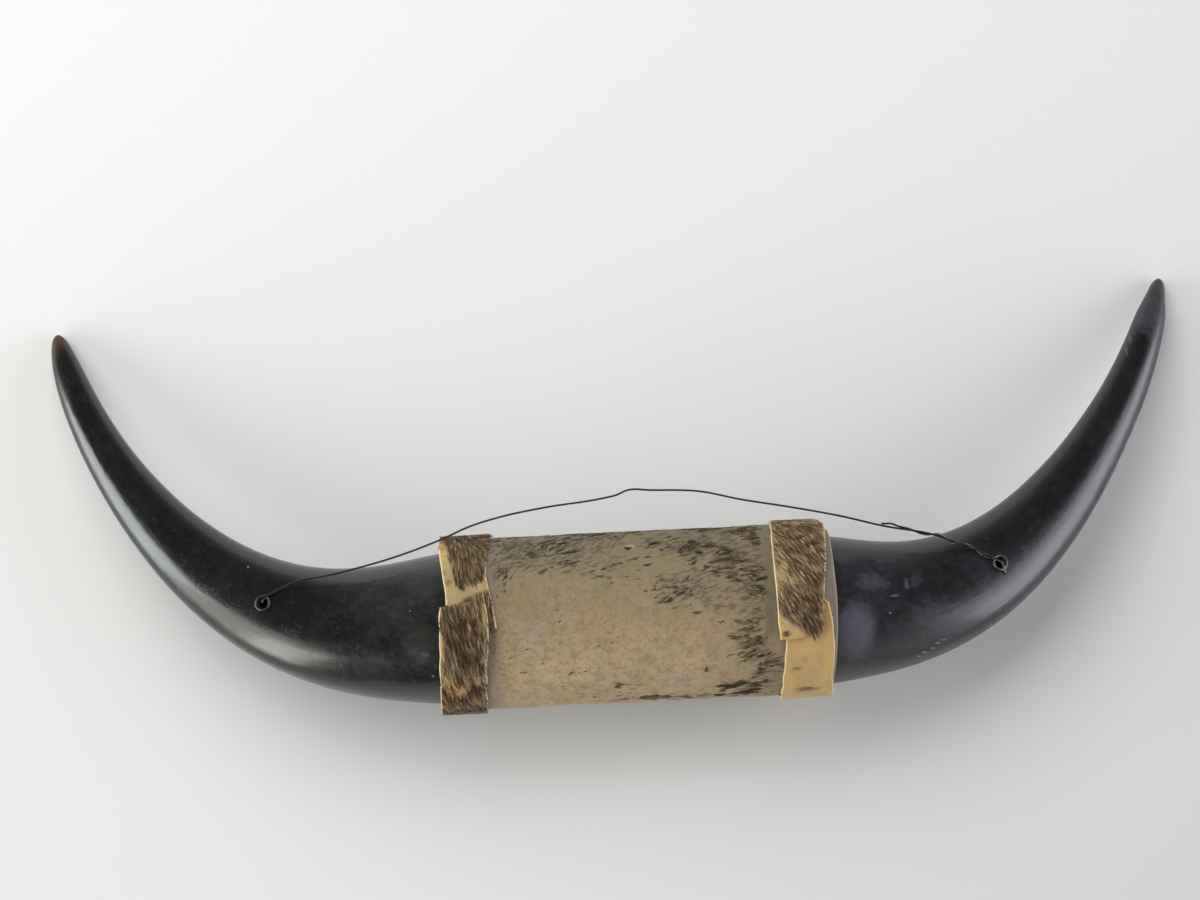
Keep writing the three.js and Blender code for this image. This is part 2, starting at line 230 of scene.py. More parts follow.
# Stains and tints on the bands' bare skin: centre (metres along and round), size, share, colour.
BAND_SPOTS = [
    ((-0.1040, 0.0200), (0.0240, 0.0500), 0.85, (0.33, 0.262, 0.135)),
    ((-0.1120, 0.0205), (0.0030, 0.0045), 0.75, (0.17, 0.095, 0.035)),
    ((-0.1150, 0.0270), (0.0022, 0.0040), 0.60, (0.20, 0.120, 0.045)),
    ((-0.1050, 0.3020), (0.0300, 0.0500), 0.70, (0.40, 0.300, 0.150)),
    ((-0.0975, 0.2990), (0.0100, 0.0060), 0.80, (0.52, 0.420, 0.310)),
    ((-0.1050, 0.2780), (0.0120, 0.0080), 0.70, (0.20, 0.105, 0.040)),
    ((0.1118, -0.0115), (0.0045, 0.0150), 0.80, (0.46, 0.250, 0.075)),
    ((0.0970, -0.0280), (0.0110, 0.0080), 0.60, (0.56, 0.350, 0.160)),
    ((0.0915, -0.0436), (0.0045, 0.0022), 0.80, (0.20, 0.110, 0.040)),
    ((0.0985, -0.0645), (0.0105, 0.0050), 0.90, (0.12, 0.062, 0.022)),
    ((0.1080, -0.0500), (0.0060, 0.0100), 0.40, (0.52, 0.400, 0.150)),
    ((0.0900, -0.3490), (0.0090, 0.0080), 0.70, (0.42, 0.300, 0.190)),
    ((0.0850, -0.3210), (0.0070, 0.0070), 0.70, (0.40, 0.270, 0.170)),
    ((0.0858, -0.3535), (0.0036, 0.0026), 0.8, (0.120, 0.085, 0.035)),
]

# Horns: the headings are the centreline's angles from the roll's axis, the radii half the section's
# width and the depths its thickness as a share of its width, all blended from base to tip. The taper
# is the share worn off behind the tip. The hole is at a share of the length and an angle round the
# section, and so is each nick, with its size and depth in millimetres. A mark has its centre, its
# size, the strength of its dust and how ragged its edge is.
HORN_BASE = 110 * MM
SECTION_DEPTHS = [0.98, 0.8, 0.92]
RIDGE_ANGLE = 28
RIDGE_WIDTH = 15
TIP_ROUNDING = 8
SOCKET_RADIUS = 32 * MM
SOCKET_DEPTH = 22.5 * MM
HORNS = {
    "left_horn": {
        "side": -1,
        "length": 366 * MM,
        "base_shift": -1.9 * MM,
        "tip_height": 2.67 * MM,
        "headings": [0, -12, 66, 41, 65, 74],
        "radii": [47.4 * MM, 31.2 * MM, 9.0 * MM, 14.1 * MM],
        "taper": 0.03,
        "hole": (0.3195, 90),
        "polish": 0.21,
        "tip_colour": (0.085, 0.038, 0.024),
        "nicks": [],
        "marks": [
            ((-0.118, -0.050, 0.086), (0.018, 0.026, 0.03), 0.050, 0.7),
            ((-0.1450, -0.0700, 0.090), (0.026, 0.020, 0.03), 0.022, 0.7),
            ((-0.1500, -0.1080, 0.085), (0.030, 0.016, 0.03), 0.032, 0.7),
            ((-0.122, -0.095, 0.093), (0.018, 0.022, 0.03), 0.050, 0.8),
            ((-0.1273, -0.0717, 0.0943), (0.0009, 0.0007, 0.004), 0.7, 0.6),
            ((-0.1156, -0.1103, 0.0851), (0.0011, 0.0009, 0.004), 0.8, 0.6),
            ((-0.2275, -0.0370, 0.0667), (0.0010, 0.0009, 0.004), 1.0, 0.3),
            ((-0.1190, -0.0980, 0.0925), (0.0060, 0.0018, 0.01), 0.14, 2.0),
        ],
    },
    "right_horn": {
        "side": 1,
        "length": 349.5 * MM,
        "base_shift": -1.5 * MM,
        "tip_height": 2.54 * MM,
        "headings": [0, -10, 87, 28, 72, 70],
        "radii": [46.2 * MM, 28.8 * MM, 9.9 * MM, 13.7 * MM],
        "taper": 0.13,
        "hole": (0.3155, 94.5),
        "polish": 0.29,
        "tip_colour": (0.075, 0.066, 0.056),
        "marks": [
            # Partly dust and partly a painted bluish sheen: the soft patch by the band.
            ((0.1375, -0.0967, 0.0911), (0.015, 0.022, 0.04), 0.38, 0.6),
            ((0.1494, -0.0670, 0.0912), (0.0130, 0.0080, 0.02), 0.11, 2.4),
            ((0.1320, -0.0520, 0.0855), (0.0090, 0.0050, 0.02), 0.08, 3.4),
            ((0.1860, -0.0880, 0.0830), (0.0180, 0.0130, 0.03), 0.05, 2.0),
            ((0.2180, -0.0560, 0.0800), (0.0240, 0.0140, 0.03), 0.04, 2.0),
            ((0.1700, -0.0690, 0.0882), (0.0018, 0.0050, 0.01), 0.20, 3.0),
            ((0.1760, -0.0670, 0.0882), (0.0060, 0.0060, 0.01), 0.08, 3.0),
            ((0.1620, -0.0760, 0.0885), (0.0040, 0.0009, 0.01), 0.35, 2.0),
            ((0.1590, -0.0540, 0.0880), (0.0080, 0.0009, 0.01), 0.16, 2.0),
            ((0.1585, -0.0863, 0.0901), (0.0009, 0.0008, 0.004), 1.1, 0.3),
            ((0.1765, -0.1112, 0.0700), (0.0022, 0.0006, 0.006), 0.9, 0.6),
            ((0.1800, -0.1090, 0.0700), (0.0026, 0.0006, 0.006), 1.4, 0.6),
            ((0.1852, -0.1068, 0.0704), (0.0018, 0.0006, 0.006), 1.2, 0.6),
            ((0.1882, -0.1040, 0.0715), (0.0016, 0.0007, 0.006), 1.2, 0.9),
            ((0.1918, -0.1022, 0.0725), (0.0018, 0.0006, 0.006), 1.0, 0.9),
            ((0.3450, 0.1080, 0.018), (0.018, 0.030, 0.03), 0.14, 2.2),
            ((0.3312, 0.0885, 0.022), (0.0007, 0.0045, 0.04), 0.40, 0.4),
            ((0.3274, 0.0795, 0.024), (0.0007, 0.0050, 0.04), 0.36, 0.4),
        ],
        "nicks": [
            (0.62, 176, 3.5, 1.1),
            (0.655, 170, 5.0, 0.8),
            (0.685, 178, 3.0, 1.2),
            (0.70, 168, 4.0, 0.6),
        ],
    },
}
HORN_ROWS = 270
HORN_TURNS = 170
HOLE_RADIUS = 2.6 * MM
HOLE_DEPTH = 10 * MM
HOLE_REACH = 4.2 * MM
HOLE_STEPS = 36

# Hanging wire, in millimetres: its route from the left horn to the right one, from the middle of the
# roll and above the floor, and its two ends, in the plane of each hole's mouth: right, towards +Y,
# and out of the horn. The second strand is twisted back round it over a stretch near its right end.
WIRE_ROUTE = [
    (-215.6, 24.6, 77.4),
    (-209.3, 27.4, 77.5),
    (-199.3, 29.6, 77.8),
    (-185.3, 31.3, 78.4),
    (-173.0, 33.7, 78.9),
    (-145.5, 40.2, 79.6),
    (-117.9, 49.2, 80.0),
    (-98.9, 57.0, 79.0),
    (-81.2, 61.8, 77.6),
    (-51.9, 66.9, 75.6),
    (-20.7, 70.5, 74.1),
    (-10.2, 72.5, 73.7),
    (-2.8, 75.3, 73.5),
    (10.6, 74.6, 73.4),
    (41.6, 72.2, 73.6),
    (64.4, 66.4, 74.0),
    (95.1, 59.9, 74.7),
    (125.6, 52.7, 75.4),
    (151.2, 45.3, 75.9),
    (181.6, 38.3, 76.2),
    (199.8, 30.6, 76.5),
    (207.6, 27.2, 76.9),
]
LEFT_HOLE_END = [(-0.5, 0.2, -7.0), (-0.5, 0.3, -2.5), (-0.2, 1.0, 0.4), (0.9, 2.3, 0.9), (2.5, 3.2, 0.75)]
RIGHT_TAIL = [
    (-3.0, 1.9, 1.9),
    (-1.6, 0.9, 2.0),
    (-0.3, 0.7, 2.0),
    (1.1, -0.9, 2.0),
    (1.9, -2.9, 2.0),
    (2.3, -4.9, 1.3),
    (3.1, -6.3, 0.8),
    (4.6, -6.8, 0.8),
]
RING_RADIUS = 4.3
WIRE_STEPS = 1500
TWIST_FROM = 0.792
TWIST_TO = 0.925
TWIST_TURNS = 2.6

# Tacks: the place along the roll, the angle, and the radius of the surface each is driven into.
TACKS = {
    "right_band_tack": (85.6 * MM, -21, 56.25 * MM),
    "wrap_tack": (38.2 * MM, -46.2, 52 * MM),
}
TACK_HEAD_RADIUS = 1.35 * MM
TACK_SHANK_RADIUS = 0.6 * MM
TACK_LENGTH = 9 * MM

# Camera: above the pair and a little to its -Y side.
CAMERA_HEIGHT_ANGLE = 80
CAMERA_ROLL = 2.75
CAMERA_PLACE = ROLL + np.array([-18.65, -147.51, 1428.8]) * MM
CAMERA_LENS = 70.16

# Window lights: the middle's turn from -Y towards +X and height, the angles filled, the share of the
# brightest window's radiance, and the colour.
WINDOW_DISTANCE = 3.6
WINDOWS = [
    ("left_near_window", (-48, 15), (13, 26), 0.98, (1.0, 0.965, 0.92)),
    ("left_middle_window", (-64, 19), (20, 32), 0.44, (1.0, 0.99, 0.95)),
    ("left_far_window", (-90, 11), (30, 31), 0.95, (0.95, 1.0, 0.965)),
    ("right_low_window", (80, 12), (60, 19), 0.70, (0.91, 0.90, 1.0)),
    ("right_high_window", (82, 29), (58, 16), 0.40, (0.93, 0.92, 1.0)),
    ("right_near_window", (34, 10), (30, 30), 0.10, (0.95, 0.93, 1.0)),
]
FILL_DISTANCE = 2.1
FLOOR_HALF = 6.0


# ---------------------------------------------------------------------------------------------
# Sizes and colours that a user would change


class HornSettings(bpy.types.PropertyGroup):
    """Both horns."""

    ridge_height: FloatProperty(
        name="Ridge height",
        description="Height of the outer ridge as a share of the section's radius",
        default=0.035,
        min=0.0,
        max=0.2,
    )
    left_colour: FloatVectorProperty(
        name="Left horn",
        description="Base colour of the left horn",
        subtype="COLOR",
        default=(0.0050, 0.0058, 0.0048),
    )
    right_colour: FloatVectorProperty(
        name="Right horn",
        description="Base colour of the right horn",
        subtype="COLOR",
        default=(0.0058, 0.0055, 0.0062),
    )
    left_dust: FloatVectorProperty(
        name="Left dust",
        description="Dust film on the left horn",
        subtype="COLOR",
        default=(0.15, 0.162, 0.143),
    )
    # Also the colour of the painted bluish sheen on the mark by the right horn's base.
    right_dust_and_sheen: FloatVectorProperty(
        name="Right dust",
        description="Dust film on the right horn",
        subtype="COLOR",
        default=(0.165, 0.155, 0.20),
    )


class HideSettings(bpy.types.PropertyGroup):
    """The bald hide round the roll and the haired bands."""

    wrap_colour: FloatVectorProperty(
        name="Bald hide",
        description="Colour of the bald hide",
        subtype="COLOR",
        default=(0.292, 0.222, 0.134),
    )
    rawhide_colour: FloatVectorProperty(
        name="Rawhide", description="Colour of the bare band", subtype="COLOR", default=(0.53, 0.352, 0.115)
    )
    hair_dark: FloatVectorProperty(
        name="Dark hair", description="Darkest hair", subtype="COLOR", default=(0.048, 0.026, 0.012)
    )
    hair_pale: FloatVectorProperty(
        name="Pale hair", description="Palest hair", subtype="COLOR", default=(0.51, 0.395, 0.225)
    )
    worn_hair_dark: FloatVectorProperty(
        name="Dark worn hair",
        description="Darkest hair on the roll",
        subtype="COLOR",
        default=(0.036, 0.027, 0.016),
    )
    worn_hair_pale: FloatVectorProperty(
        name="Pale worn hair",
        description="Palest hair on the roll",
        subtype="COLOR",
        default=(0.20, 0.155, 0.095),
    )
    hair_length: FloatProperty(
        name="Hair length",
        description="Mean length of the hair on the bands",
        default=8 * MM,
        min=1 * MM,
        max=40 * MM,
        subtype="DISTANCE",
        unit="LENGTH",
    )
    hair_count: IntProperty(
        name="Hairs", description="Number of hairs on each band", default=8600, min=100, max=9000
    )


class WireSettings(bpy.types.PropertyGroup):
    """The hanging wire and the tacks."""

    diameter: FloatProperty(
        name="Wire diameter",
        description="Diameter of the steel wire",
        default=1.2 * MM,
        min=0.3 * MM,
        max=5 * MM,
        subtype="DISTANCE",
        unit="LENGTH",
    )
    steel_colour: FloatVectorProperty(
        name="Steel", description="Colour of the dull steel", subtype="COLOR", default=(0.16, 0.16, 0.155)
    )


class StageSettings(bpy.types.PropertyGroup):
    """The floor and the lights."""

    floor_colour: FloatVectorProperty(
        name="Floor", description="Colour of the floor", subtype="COLOR", default=(0.665, 0.675, 0.66)
    )
    window_light: FloatProperty(
        name="Windows", description="Radiance of the brightest window light", default=8.2, min=0.0
    )
    fill_light: FloatProperty(
        name="Fill light", description="Radiance of the light behind the pair", default=3.3, min=0.0
    )


SETTINGS = {
    "horn_pair_horns": HornSettings,
    "horn_pair_hide": HideSettings,
    "horn_pair_wire": WireSettings,
    "horn_pair_stage": StageSettings,
}


# ---------------------------------------------------------------------------------------------
# Curves, noise and places


def unit(vectors):
    """The vectors, each made one long."""
    return vectors / np.linalg.norm(vectors, axis=-1, keepdims=True)


def blend(values, t):
    """Bezier blend: neighbouring control values are mixed by t, again and again, until one is left."""
    level = [np.full_like(t, value, dtype=float) for value in values]
    while len(level) > 1:
        level = [low + (high - low) * t for low, high in zip(level, level[1:])]
    return level[0]


def ease(value, low, high):
    """0 below low, 1 above high, and 3s^2 - 2s^3 of the share s between them."""
    share = np.clip((value - low) / (high - low), 0, 1)
    return share * share * (3 - 2 * share)


def through(places, values, at, slopes=None):
    """Smooth line through the given values: cubic pieces whose slopes are those of their neighbours,
    unless slopes are given."""
    places = np.asarray(places, float)
    values = np.asarray(values, float)
    if slopes is None:
        slopes = np.gradient(values, places, axis=0)
    index = np.clip(np.searchsorted(places, at) - 1, 0, len(places) - 2)
    step = places[index + 1] - places[index]
    share = np.clip((at - places[index]) / step, 0, 1)
    if values.ndim > 1:
        share, step = share[..., None], step[..., None]
    fall = share * share * (3 - 2 * share)
    lead = share * (1 - share) ** 2 * step
    trail = share * share * (share - 1) * step
    line = values[index] * (1 - fall) + values[index + 1] * fall
    return line + slopes[index] * lead + slopes[index + 1] * trail


def edge_through(places, values, at):
    """Line through the given values that never swings past them: its slope is the harmonic mean of
    the two rates beside each value, and level where they differ in sign and at both ends."""
    rates = np.diff(values) / np.diff(places)
    before, after = rates[:-1], rates[1:]
    same = before * after > 0
    slopes = np.zeros(len(values))
    slopes[1:-1][same] = 2 * (before * after)[same] / (before + after)[same]
    return through(places, values, at, slopes)


def ripple(points, wavelength, seed, waves=20):
    """Smooth noise of about -1 to 1: cosines of one wavelength in random directions, added up."""
    rng = np.random.default_rng(seed)
    directions = unit(rng.normal(size=(waves, points.shape[-1])))
    phases = rng.uniform(0, 2 * np.pi, waves)
    total = np.cos(points @ (directions.T * (2 * np.pi / wavelength)) + phases).sum(-1)
    return total / math.sqrt(waves)


def laid(along, arc):
    """Points of the unrolled surface: the place along the roll and the arc round it."""
    return np.stack([along, arc], -1)


def on_roll(along, angle, radius):
    """A point at a place along the roll, an angle in degrees from +Z towards +Y, and a radius."""
    turn = np.radians(angle)
    along, turn, radius = np.broadcast_arrays(along, turn, radius)
    return np.stack([ROLL[0] + along, ROLL[1] + radius * np.sin(turn), ROLL[2] + radius * np.cos(turn)], -1)


def at_places(at, places, line):
    """Points at the given places on a line of points, straight from each of them to the next."""
    return np.stack([np.interp(at, places, line[:, k]) for k in range(3)], -1)


def lined_up(path, count):
    """Points at even distances on the smooth line through the given points."""
    gaps = np.linalg.norm(np.diff(path, axis=0), axis=1)
    places = np.concatenate([[0], np.cumsum(gaps)])
    fine = through(places, path, np.linspace(0, places[-1], 40 * len(path)))
    run = np.concatenate([[0], np.cumsum(np.linalg.norm(np.diff(fine, axis=0), axis=1))])
    return at_places(np.linspace(0, run[-1], count), run, fine)


# ---------------------------------------------------------------------------------------------
# Meshes


def grid_faces(rows, columns, closed):
    """Quads of a grid of vertices; in a closed grid the last column meets the first."""
    row = np.arange(rows - 1)[:, None]
    column = np.arange(columns if closed else columns - 1)[None, :]
    beside = (column + 1) % columns
    corners = [row * columns + column, row * columns + beside]
    corners += [(row + 1) * columns + beside, (row + 1) * columns + column]
    return np.stack(np.broadcast_arrays(*corners), -1).reshape(-1, 4)


def pole_fan(ring, pole):
    """Triangles from one pole to a closed ring of vertices."""
    return np.stack([np.full_like(ring, pole), ring, np.roll(ring, -1)], -1)


def enclosed_volume(points, faces):
    """Signed volume inside closed faces: the sum of the fans' tetrahedra to the origin."""
    total = 0.0
    for group in faces:
        corner = points[group]
        for k in range(1, group.shape[1] - 1):
            total += np.einsum("ij,ij->", corner[:, 0], np.cross(corner[:, k], corner[:, k + 1])) / 6
    return total


def make_piece(name, points, faces, attributes=None):
    """Mesh object from arrays of points and faces, with all faces out and smooth, and with a float
    or vector attribute for each named array."""
    if enclosed_volume(points, faces) < 0:
        faces = [group[:, ::-1] for group in faces]
    loops = np.concatenate([group.ravel() for group in faces]).astype(np.int32)
    sizes = np.concatenate([np.full(len(group), group.shape[1]) for group in faces])
    starts = np.concatenate([[0], np.cumsum(sizes)[:-1]]).astype(np.int32)
    mesh = bpy.data.meshes.new(name)
    mesh.vertices.add(len(points))
    mesh.vertices.foreach_set("co", points.astype(np.float32).ravel())
    mesh.loops.add(len(loops))
    mesh.loops.foreach_set("vertex_index", loops)
    mesh.polygons.add(len(sizes))
    mesh.polygons.foreach_set("loop_start", starts)
    mesh.polygons.foreach_set("use_smooth", np.ones(len(sizes), bool))
    mesh.update(calc_edges=True)
    for key, values in (attributes or {}).items():
        kind, slot = ("FLOAT", "value") if values.ndim == 1 else ("FLOAT_VECTOR", "vector")
        layer = mesh.attributes.new(key, kind, "POINT")
        layer.data.foreach_set(slot, values.astype(np.float32).ravel())
    if mesh.validate():
        raise RuntimeError(f"{name} has faces that Blender had to mend")
    piece = bpy.data.objects.new(name, mesh)
    bpy.context.scene.collection.objects.link(piece)
    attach(piece, "root")
    return piece


def capped_tube(points):
    """Points and faces of a closed skin: a grid of rings with a pole in the middle of each end."""
    rows, columns = points.shape[:2]
    poles = np.stack([points[0].mean(0), points[-1].mean(0)])
    flat = np.concatenate([points.reshape(-1, 3), poles])
    ring = np.arange(columns)
    faces = [
        grid_faces(rows, columns, True),
        pole_fan(ring, rows * columns)[:, ::-1],
        pole_fan(ring + (rows - 1) * columns, rows * columns + 1),
    ]
    return flat, faces


def tube_along(path, radius, sides):
    """Rings round a path. Each ring's first direction is the last ring's, squared to the path, so
    the tube doesn't twist."""
    slopes = unit(np.gradient(path, axis=0))
    across = np.cross(slopes[0], [0.3, 0.4, 0.86])
    turns = np.linspace(0, 2 * np.pi, sides, endpoint=False)
    rings = np.empty((len(path), sides, 3))
    for i, (point, slope) in enumerate(zip(path, slopes)):
        across = unit(across - slope * (across @ slope))
        up = np.cross(slope, across)
        rings[i] = point + radius * (np.outer(np.cos(turns), across) + np.outer(np.sin(turns), up))
    return rings


def hide_piece(name, outer, inner, attributes):
    """A sheet of hide as a closed skin: an outer and an inner grid that share their border. Each
    attribute is a grid of values that both of them take."""
    rows, columns = outer.shape[:2]
    inside = np.arange(rows * columns).reshape(rows, columns)
    inside[1:-1, 1:-1] += rows * columns
    quads = grid_faces(rows, columns, False)
    both = np.concatenate([quads, inside.ravel()[quads][:, ::-1]])
    used, faces = np.unique(both, return_inverse=True)
    points = np.concatenate([outer.reshape(-1, 3), inner.reshape(-1, 3)])[used]
    taken = used % (rows * columns)
    values = {
        key: grid.reshape(rows * columns, *grid.shape[2:])[taken] for key, grid in attributes.items()
    }
    return make_piece(name, points, [faces.reshape(-1, 4)], values)


def lip(distance, thickness):
    """Half the thickness of a sheet at a distance from its border: a round lip, then level."""
    share = np.clip(distance / (thickness / 2), 0, 1)
    return thickness / 2 * np.sqrt(1 - (1 - share) ** 2)


def bordered(low, high, step, border):
    """Places from low to high at about the given step, closer together within the two borders."""
    near = np.array([0, 0.04, 0.15, 0.35, 0.65, 1.0]) * border
    middle = np.linspace(low + border, high - border, max(int(round((high - low) / step)), 3))
    return np.concatenate([low + near[:-1], middle, (high - near[:-1])[::-1]])


# ---------------------------------------------------------------------------------------------
# Node graphs


class Graph:
    """Adds nodes to a node tree and joins them: a socket is linked, any other value is set."""

    def __init__(self, tree):
        self.tree = tree

    def node(self, kind, inputs=None, **settings):
        made = self.tree.nodes.new(kind)
        for key, value in settings.items():
            setattr(made, key, value)
        self.fill(made.inputs, inputs or {})
        return made

    def fill(self, sockets, values):
        for key, value in values.items():
            if isinstance(value, bpy.types.NodeSocket):
                self.tree.links.new(value, sockets[key])
            else:
                sockets[key].default_value = value

    def math(self, operation, a, b=0.0):
        return self.node("ShaderNodeMath", {0: a, 1: b}, operation=operation).outputs[0]

    def times(self, a, b):
        return self.math("MULTIPLY", a, b)

    def plus(self, a, b):
        return self.math("ADD", a, b)

    def less(self, a, b):
        return self.math("SUBTRACT", a, b)

    def vector(self, operation, a, b=ORIGIN, output=0):
        return self.node("ShaderNodeVectorMath", {0: a, 1: b}, operation=operation).outputs[output]

    def mix(self, share, a, b, blend_type="MIX"):
        a, b = (value if isinstance(value, bpy.types.NodeSocket) else (*value, 1) for value in (a, b))
        settings = {"data_type": "RGBA", "blend_type": blend_type}
        return self.node("ShaderNodeMix", {0: share, 6: a, 7: b}, **settings).outputs[2]

    def tint(self, base, mask, share, colour, blend_type="MIX"):
        """The base with a colour laid over it by a share of the mask."""
        return self.mix(self.times(mask, share), base, colour, blend_type)

    def spots(self, base, vector, spots, **edge):
        """The base with a colour laid over it in each spot of a flat surface."""
        for centre, size, share, colour in spots:
            mask = self.group("Spot", vector, Centre=(*centre, 0), Size=(*size, 1), **edge)
            base = self.tint(base, mask, share, colour)
        return base

    def range(self, value, low, high, to_low=0.0, to_high=1.0):
        inputs = {"Value": value, "From Min": low, "From Max": high, "To Min": to_low, "To Max": to_high}
        return self.node("ShaderNodeMapRange", inputs, interpolation_type="SMOOTHSTEP").outputs["Result"]

    def noise(self, vector, scale, detail=3.0, roughness=0.55, distortion=0.0):
        inputs = {"Vector": vector, "Scale": scale, "Detail": detail}
        inputs.update({"Roughness": roughness, "Distortion": distortion})
        return self.node("ShaderNodeTexNoise", inputs).outputs["Fac"]

    def ramp(self, value, stops):
        """Colours blended between stops of a place and a colour, the first and last stop first."""
        made = self.node("ShaderNodeValToRGB", {0: value})
        elements = made.color_ramp.elements
        for index, (place, colour) in enumerate(stops):
            stop = elements[index] if index < 2 else elements.new(place)
            stop.position = place
            stop.color = (*colour, 1)
        return made.outputs[0]

    def attribute(self, name, output="Fac"):
        return self.node("ShaderNodeAttribute", attribute_name=name).outputs[output]

    def place(self):
        return self.node("ShaderNodeTexCoord").outputs["Object"]

    def parts(self, vector):
        return self.node("ShaderNodeSeparateXYZ", {0: vector}).outputs

    def group(self, name, vector, **inputs):
        inputs["Vector"] = vector
        return self.node("ShaderNodeGroup", inputs, node_tree=bpy.data.node_groups[name]).outputs[0]

    def bump(self, height, strength, distance, normal=None):
        inputs = {"Height": height, "Strength": strength, "Distance": distance}
        if normal is not None:
            inputs["Normal"] = normal
        return self.node("ShaderNodeBump", inputs).outputs["Normal"]


def new_group(name, **inputs):
    """Shader node group with a vector, the given inputs and one mask; returns its graph, the inputs
    and a function that ends it with the mask."""
    tree = bpy.data.node_groups.new(name, "ShaderNodeTree")
    for key, default in {"Vector": ORIGIN, **inputs}.items():
        kind = "NodeSocketVector" if isinstance(default, tuple) else "NodeSocketFloat"
        tree.interface.new_socket(key, in_out="INPUT", socket_type=kind).default_value = default
    tree.interface.new_socket("Mask", in_out="OUTPUT", socket_type="NodeSocketFloat")
    graph = Graph(tree)
    entry = graph.node("NodeGroupInput")
    leave = graph.node("NodeGroupOutput")
    return graph, entry.outputs, lambda mask: graph.fill(leave.inputs, {"Mask": mask})


def blotch_group():
    """Mask of soft blotches: noise, eased from 0 to 1 between two levels."""
    graph, given, end = new_group("Blotches", Scale=20.0, Detail=3.0, Low=0.45, High=0.6)
    noise = graph.noise(given["Vector"], given["Scale"], given["Detail"], 0.6, 0.4)
    end(graph.range(noise, given["Low"], given["High"]))


def squeezed(graph, given):
    """The group's vector, turned and then squeezed."""
    inputs = {"Vector": given["Vector"], "Rotation": given["Turn"]}
    turned = graph.node("ShaderNodeMapping", inputs).outputs[0]
    return graph.vector("MULTIPLY", turned, given["Stretch"])


def streak_group():
    """Fibres: noise on a squeezed vector, eased from 0 to 1 between two levels."""
    lie = {"Turn": ORIGIN, "Stretch": (1.0, 1.0, 1.0)}
    graph, given, end = new_group("Streaks", **lie, Scale=200.0, Low=0.4, High=0.6)
    noise = graph.noise(squeezed(graph, given), given["Scale"], 4.0, 0.6)
    end(graph.range(noise, given["Low"], given["High"]))


def spot_group():
    """Mask round one centre: 1 inside, 0 past the size, with an edge broken up by noise."""
    reach = {"Centre": ORIGIN, "Size": (0.01, 0.01, 0.01)}
    graph, given, end = new_group("Spot", **reach, Softness=0.5, Ragged=0.4, Grain=250.0)
    apart = graph.vector("SUBTRACT", given["Vector"], given["Centre"])
    length = graph.vector("LENGTH", graph.vector("DIVIDE", apart, given["Size"]), output="Value")
    grain = graph.less(graph.noise(given["Vector"], given["Grain"], 4.0, 0.65), 0.5)
    broken = graph.plus(length, graph.times(grain, given["Ragged"]))
    end(graph.less(1.0, graph.range(broken, graph.less(1.0, given["Softness"]), 1.0)))


def scratch_group():
    """Fine scratches: the thin lines where squeezed noise crosses its middle level, here and there."""
    lie = {"Turn": ORIGIN, "Stretch": (1.0, 1.0, 0.05)}
    graph, given, end = new_group("Scratches", **lie, Scale=300.0, Width=0.012)
    noise = graph.noise(squeezed(graph, given), given["Scale"], 2.0, 0.5)
    apart = graph.math("ABSOLUTE", graph.less(noise, 0.5))
    line = graph.less(1.0, graph.range(apart, 0.0, given["Width"]))
    end(graph.times(line, graph.range(graph.noise(given["Vector"], 90.0), 0.5, 0.62)))


def make_groups():
    for build in (blotch_group, streak_group, spot_group, scratch_group):
        build()


def new_material(name):
    """Material with a Principled surface; returns it, its graph and the shader's inputs."""
    material = bpy.data.materials.new(name)
    material.use_nodes = True
    material.node_tree.nodes.clear()
    graph = Graph(material.node_tree)
    shader = graph.node("ShaderNodeBsdfPrincipled")
    graph.node("ShaderNodeOutputMaterial", {"Surface": shader.outputs[0]})
    return material, graph, shader.inputs


# ---------------------------------------------------------------------------------------------
# Horns


def horn_line(horn, steps=2400):
    """Centreline points and directions. The heading turns the line in plan, the height falls with
    the square of the distance from the base, and the steps are added up by the trapezoid rule."""
    t = np.linspace(0, 1, steps + 1)
    side = horn["side"]
    heading = np.radians(blend(horn["headings"], t))
    drop = ROLL[2] - horn["tip_height"]
    fall = -2 * drop * t / horn["length"]
    level = np.sqrt(1 - fall * fall)
    along = np.stack([side * np.cos(heading) * level, np.sin(heading) * level, fall], -1)
    inward = np.stack([-side * np.sin(heading), np.cos(heading), np.zeros_like(t)], -1)
    moves = (along[1:, :2] + along[:-1, :2]) * horn["length"] / steps / 2
    plan = np.concatenate([np.zeros((1, 2)), np.cumsum(moves, axis=0)])
    plan += ROLL[:2] + np.array([side * HORN_BASE, horn["base_shift"]])
    centre = np.concatenate([plan, (ROLL[2] - drop * t * t)[:, None]], axis=1)
    return t, centre, along, inward


def horn_points(horn, ridge_height, t, radius, angle):
    """Points of the horn's section at t: an oval about the centreline, with a low rounded ridge on
    the upper part of its outer flank. The angle goes from the inner side up over the back."""
    steps, *lines = horn_line(horn)
    t, radius, turn = np.broadcast_arrays(t, radius, np.radians(angle))
    centre, along, inward = (at_places(t, steps, line) for line in lines)
    inward = unit(inward)
    up = np.cross(inward, unit(along)) * -horn["side"]
    up *= np.sign(up[..., 2:3])
    from_outside = np.degrees(np.arctan2(np.sin(turn), -np.cos(turn)))
    ridge = np.exp(-(((from_outside - RIDGE_ANGLE) / RIDGE_WIDTH) ** 2)) * ease(t, 0, 0.25)
    swell = radius * (1 + ridge_height * ridge)
    wide = np.cos(turn) * swell
    deep = np.sin(turn) * swell * blend(SECTION_DEPTHS, t)
    return centre + inward * wide[..., None] + up * deep[..., None]


def horn_radius(horn, t):
    """Half the section's width: the blend of the radii, closed by a round end, which is worn
    narrower by the taper's share a little behind the tip."""
    worn = 1 - horn["taper"] * np.exp(-(((1 - t) / 0.03 - 1.2) ** 2))
    return blend(horn["radii"], t) * worn * np.sqrt(np.clip(1 - t**TIP_ROUNDING, 0, 1))


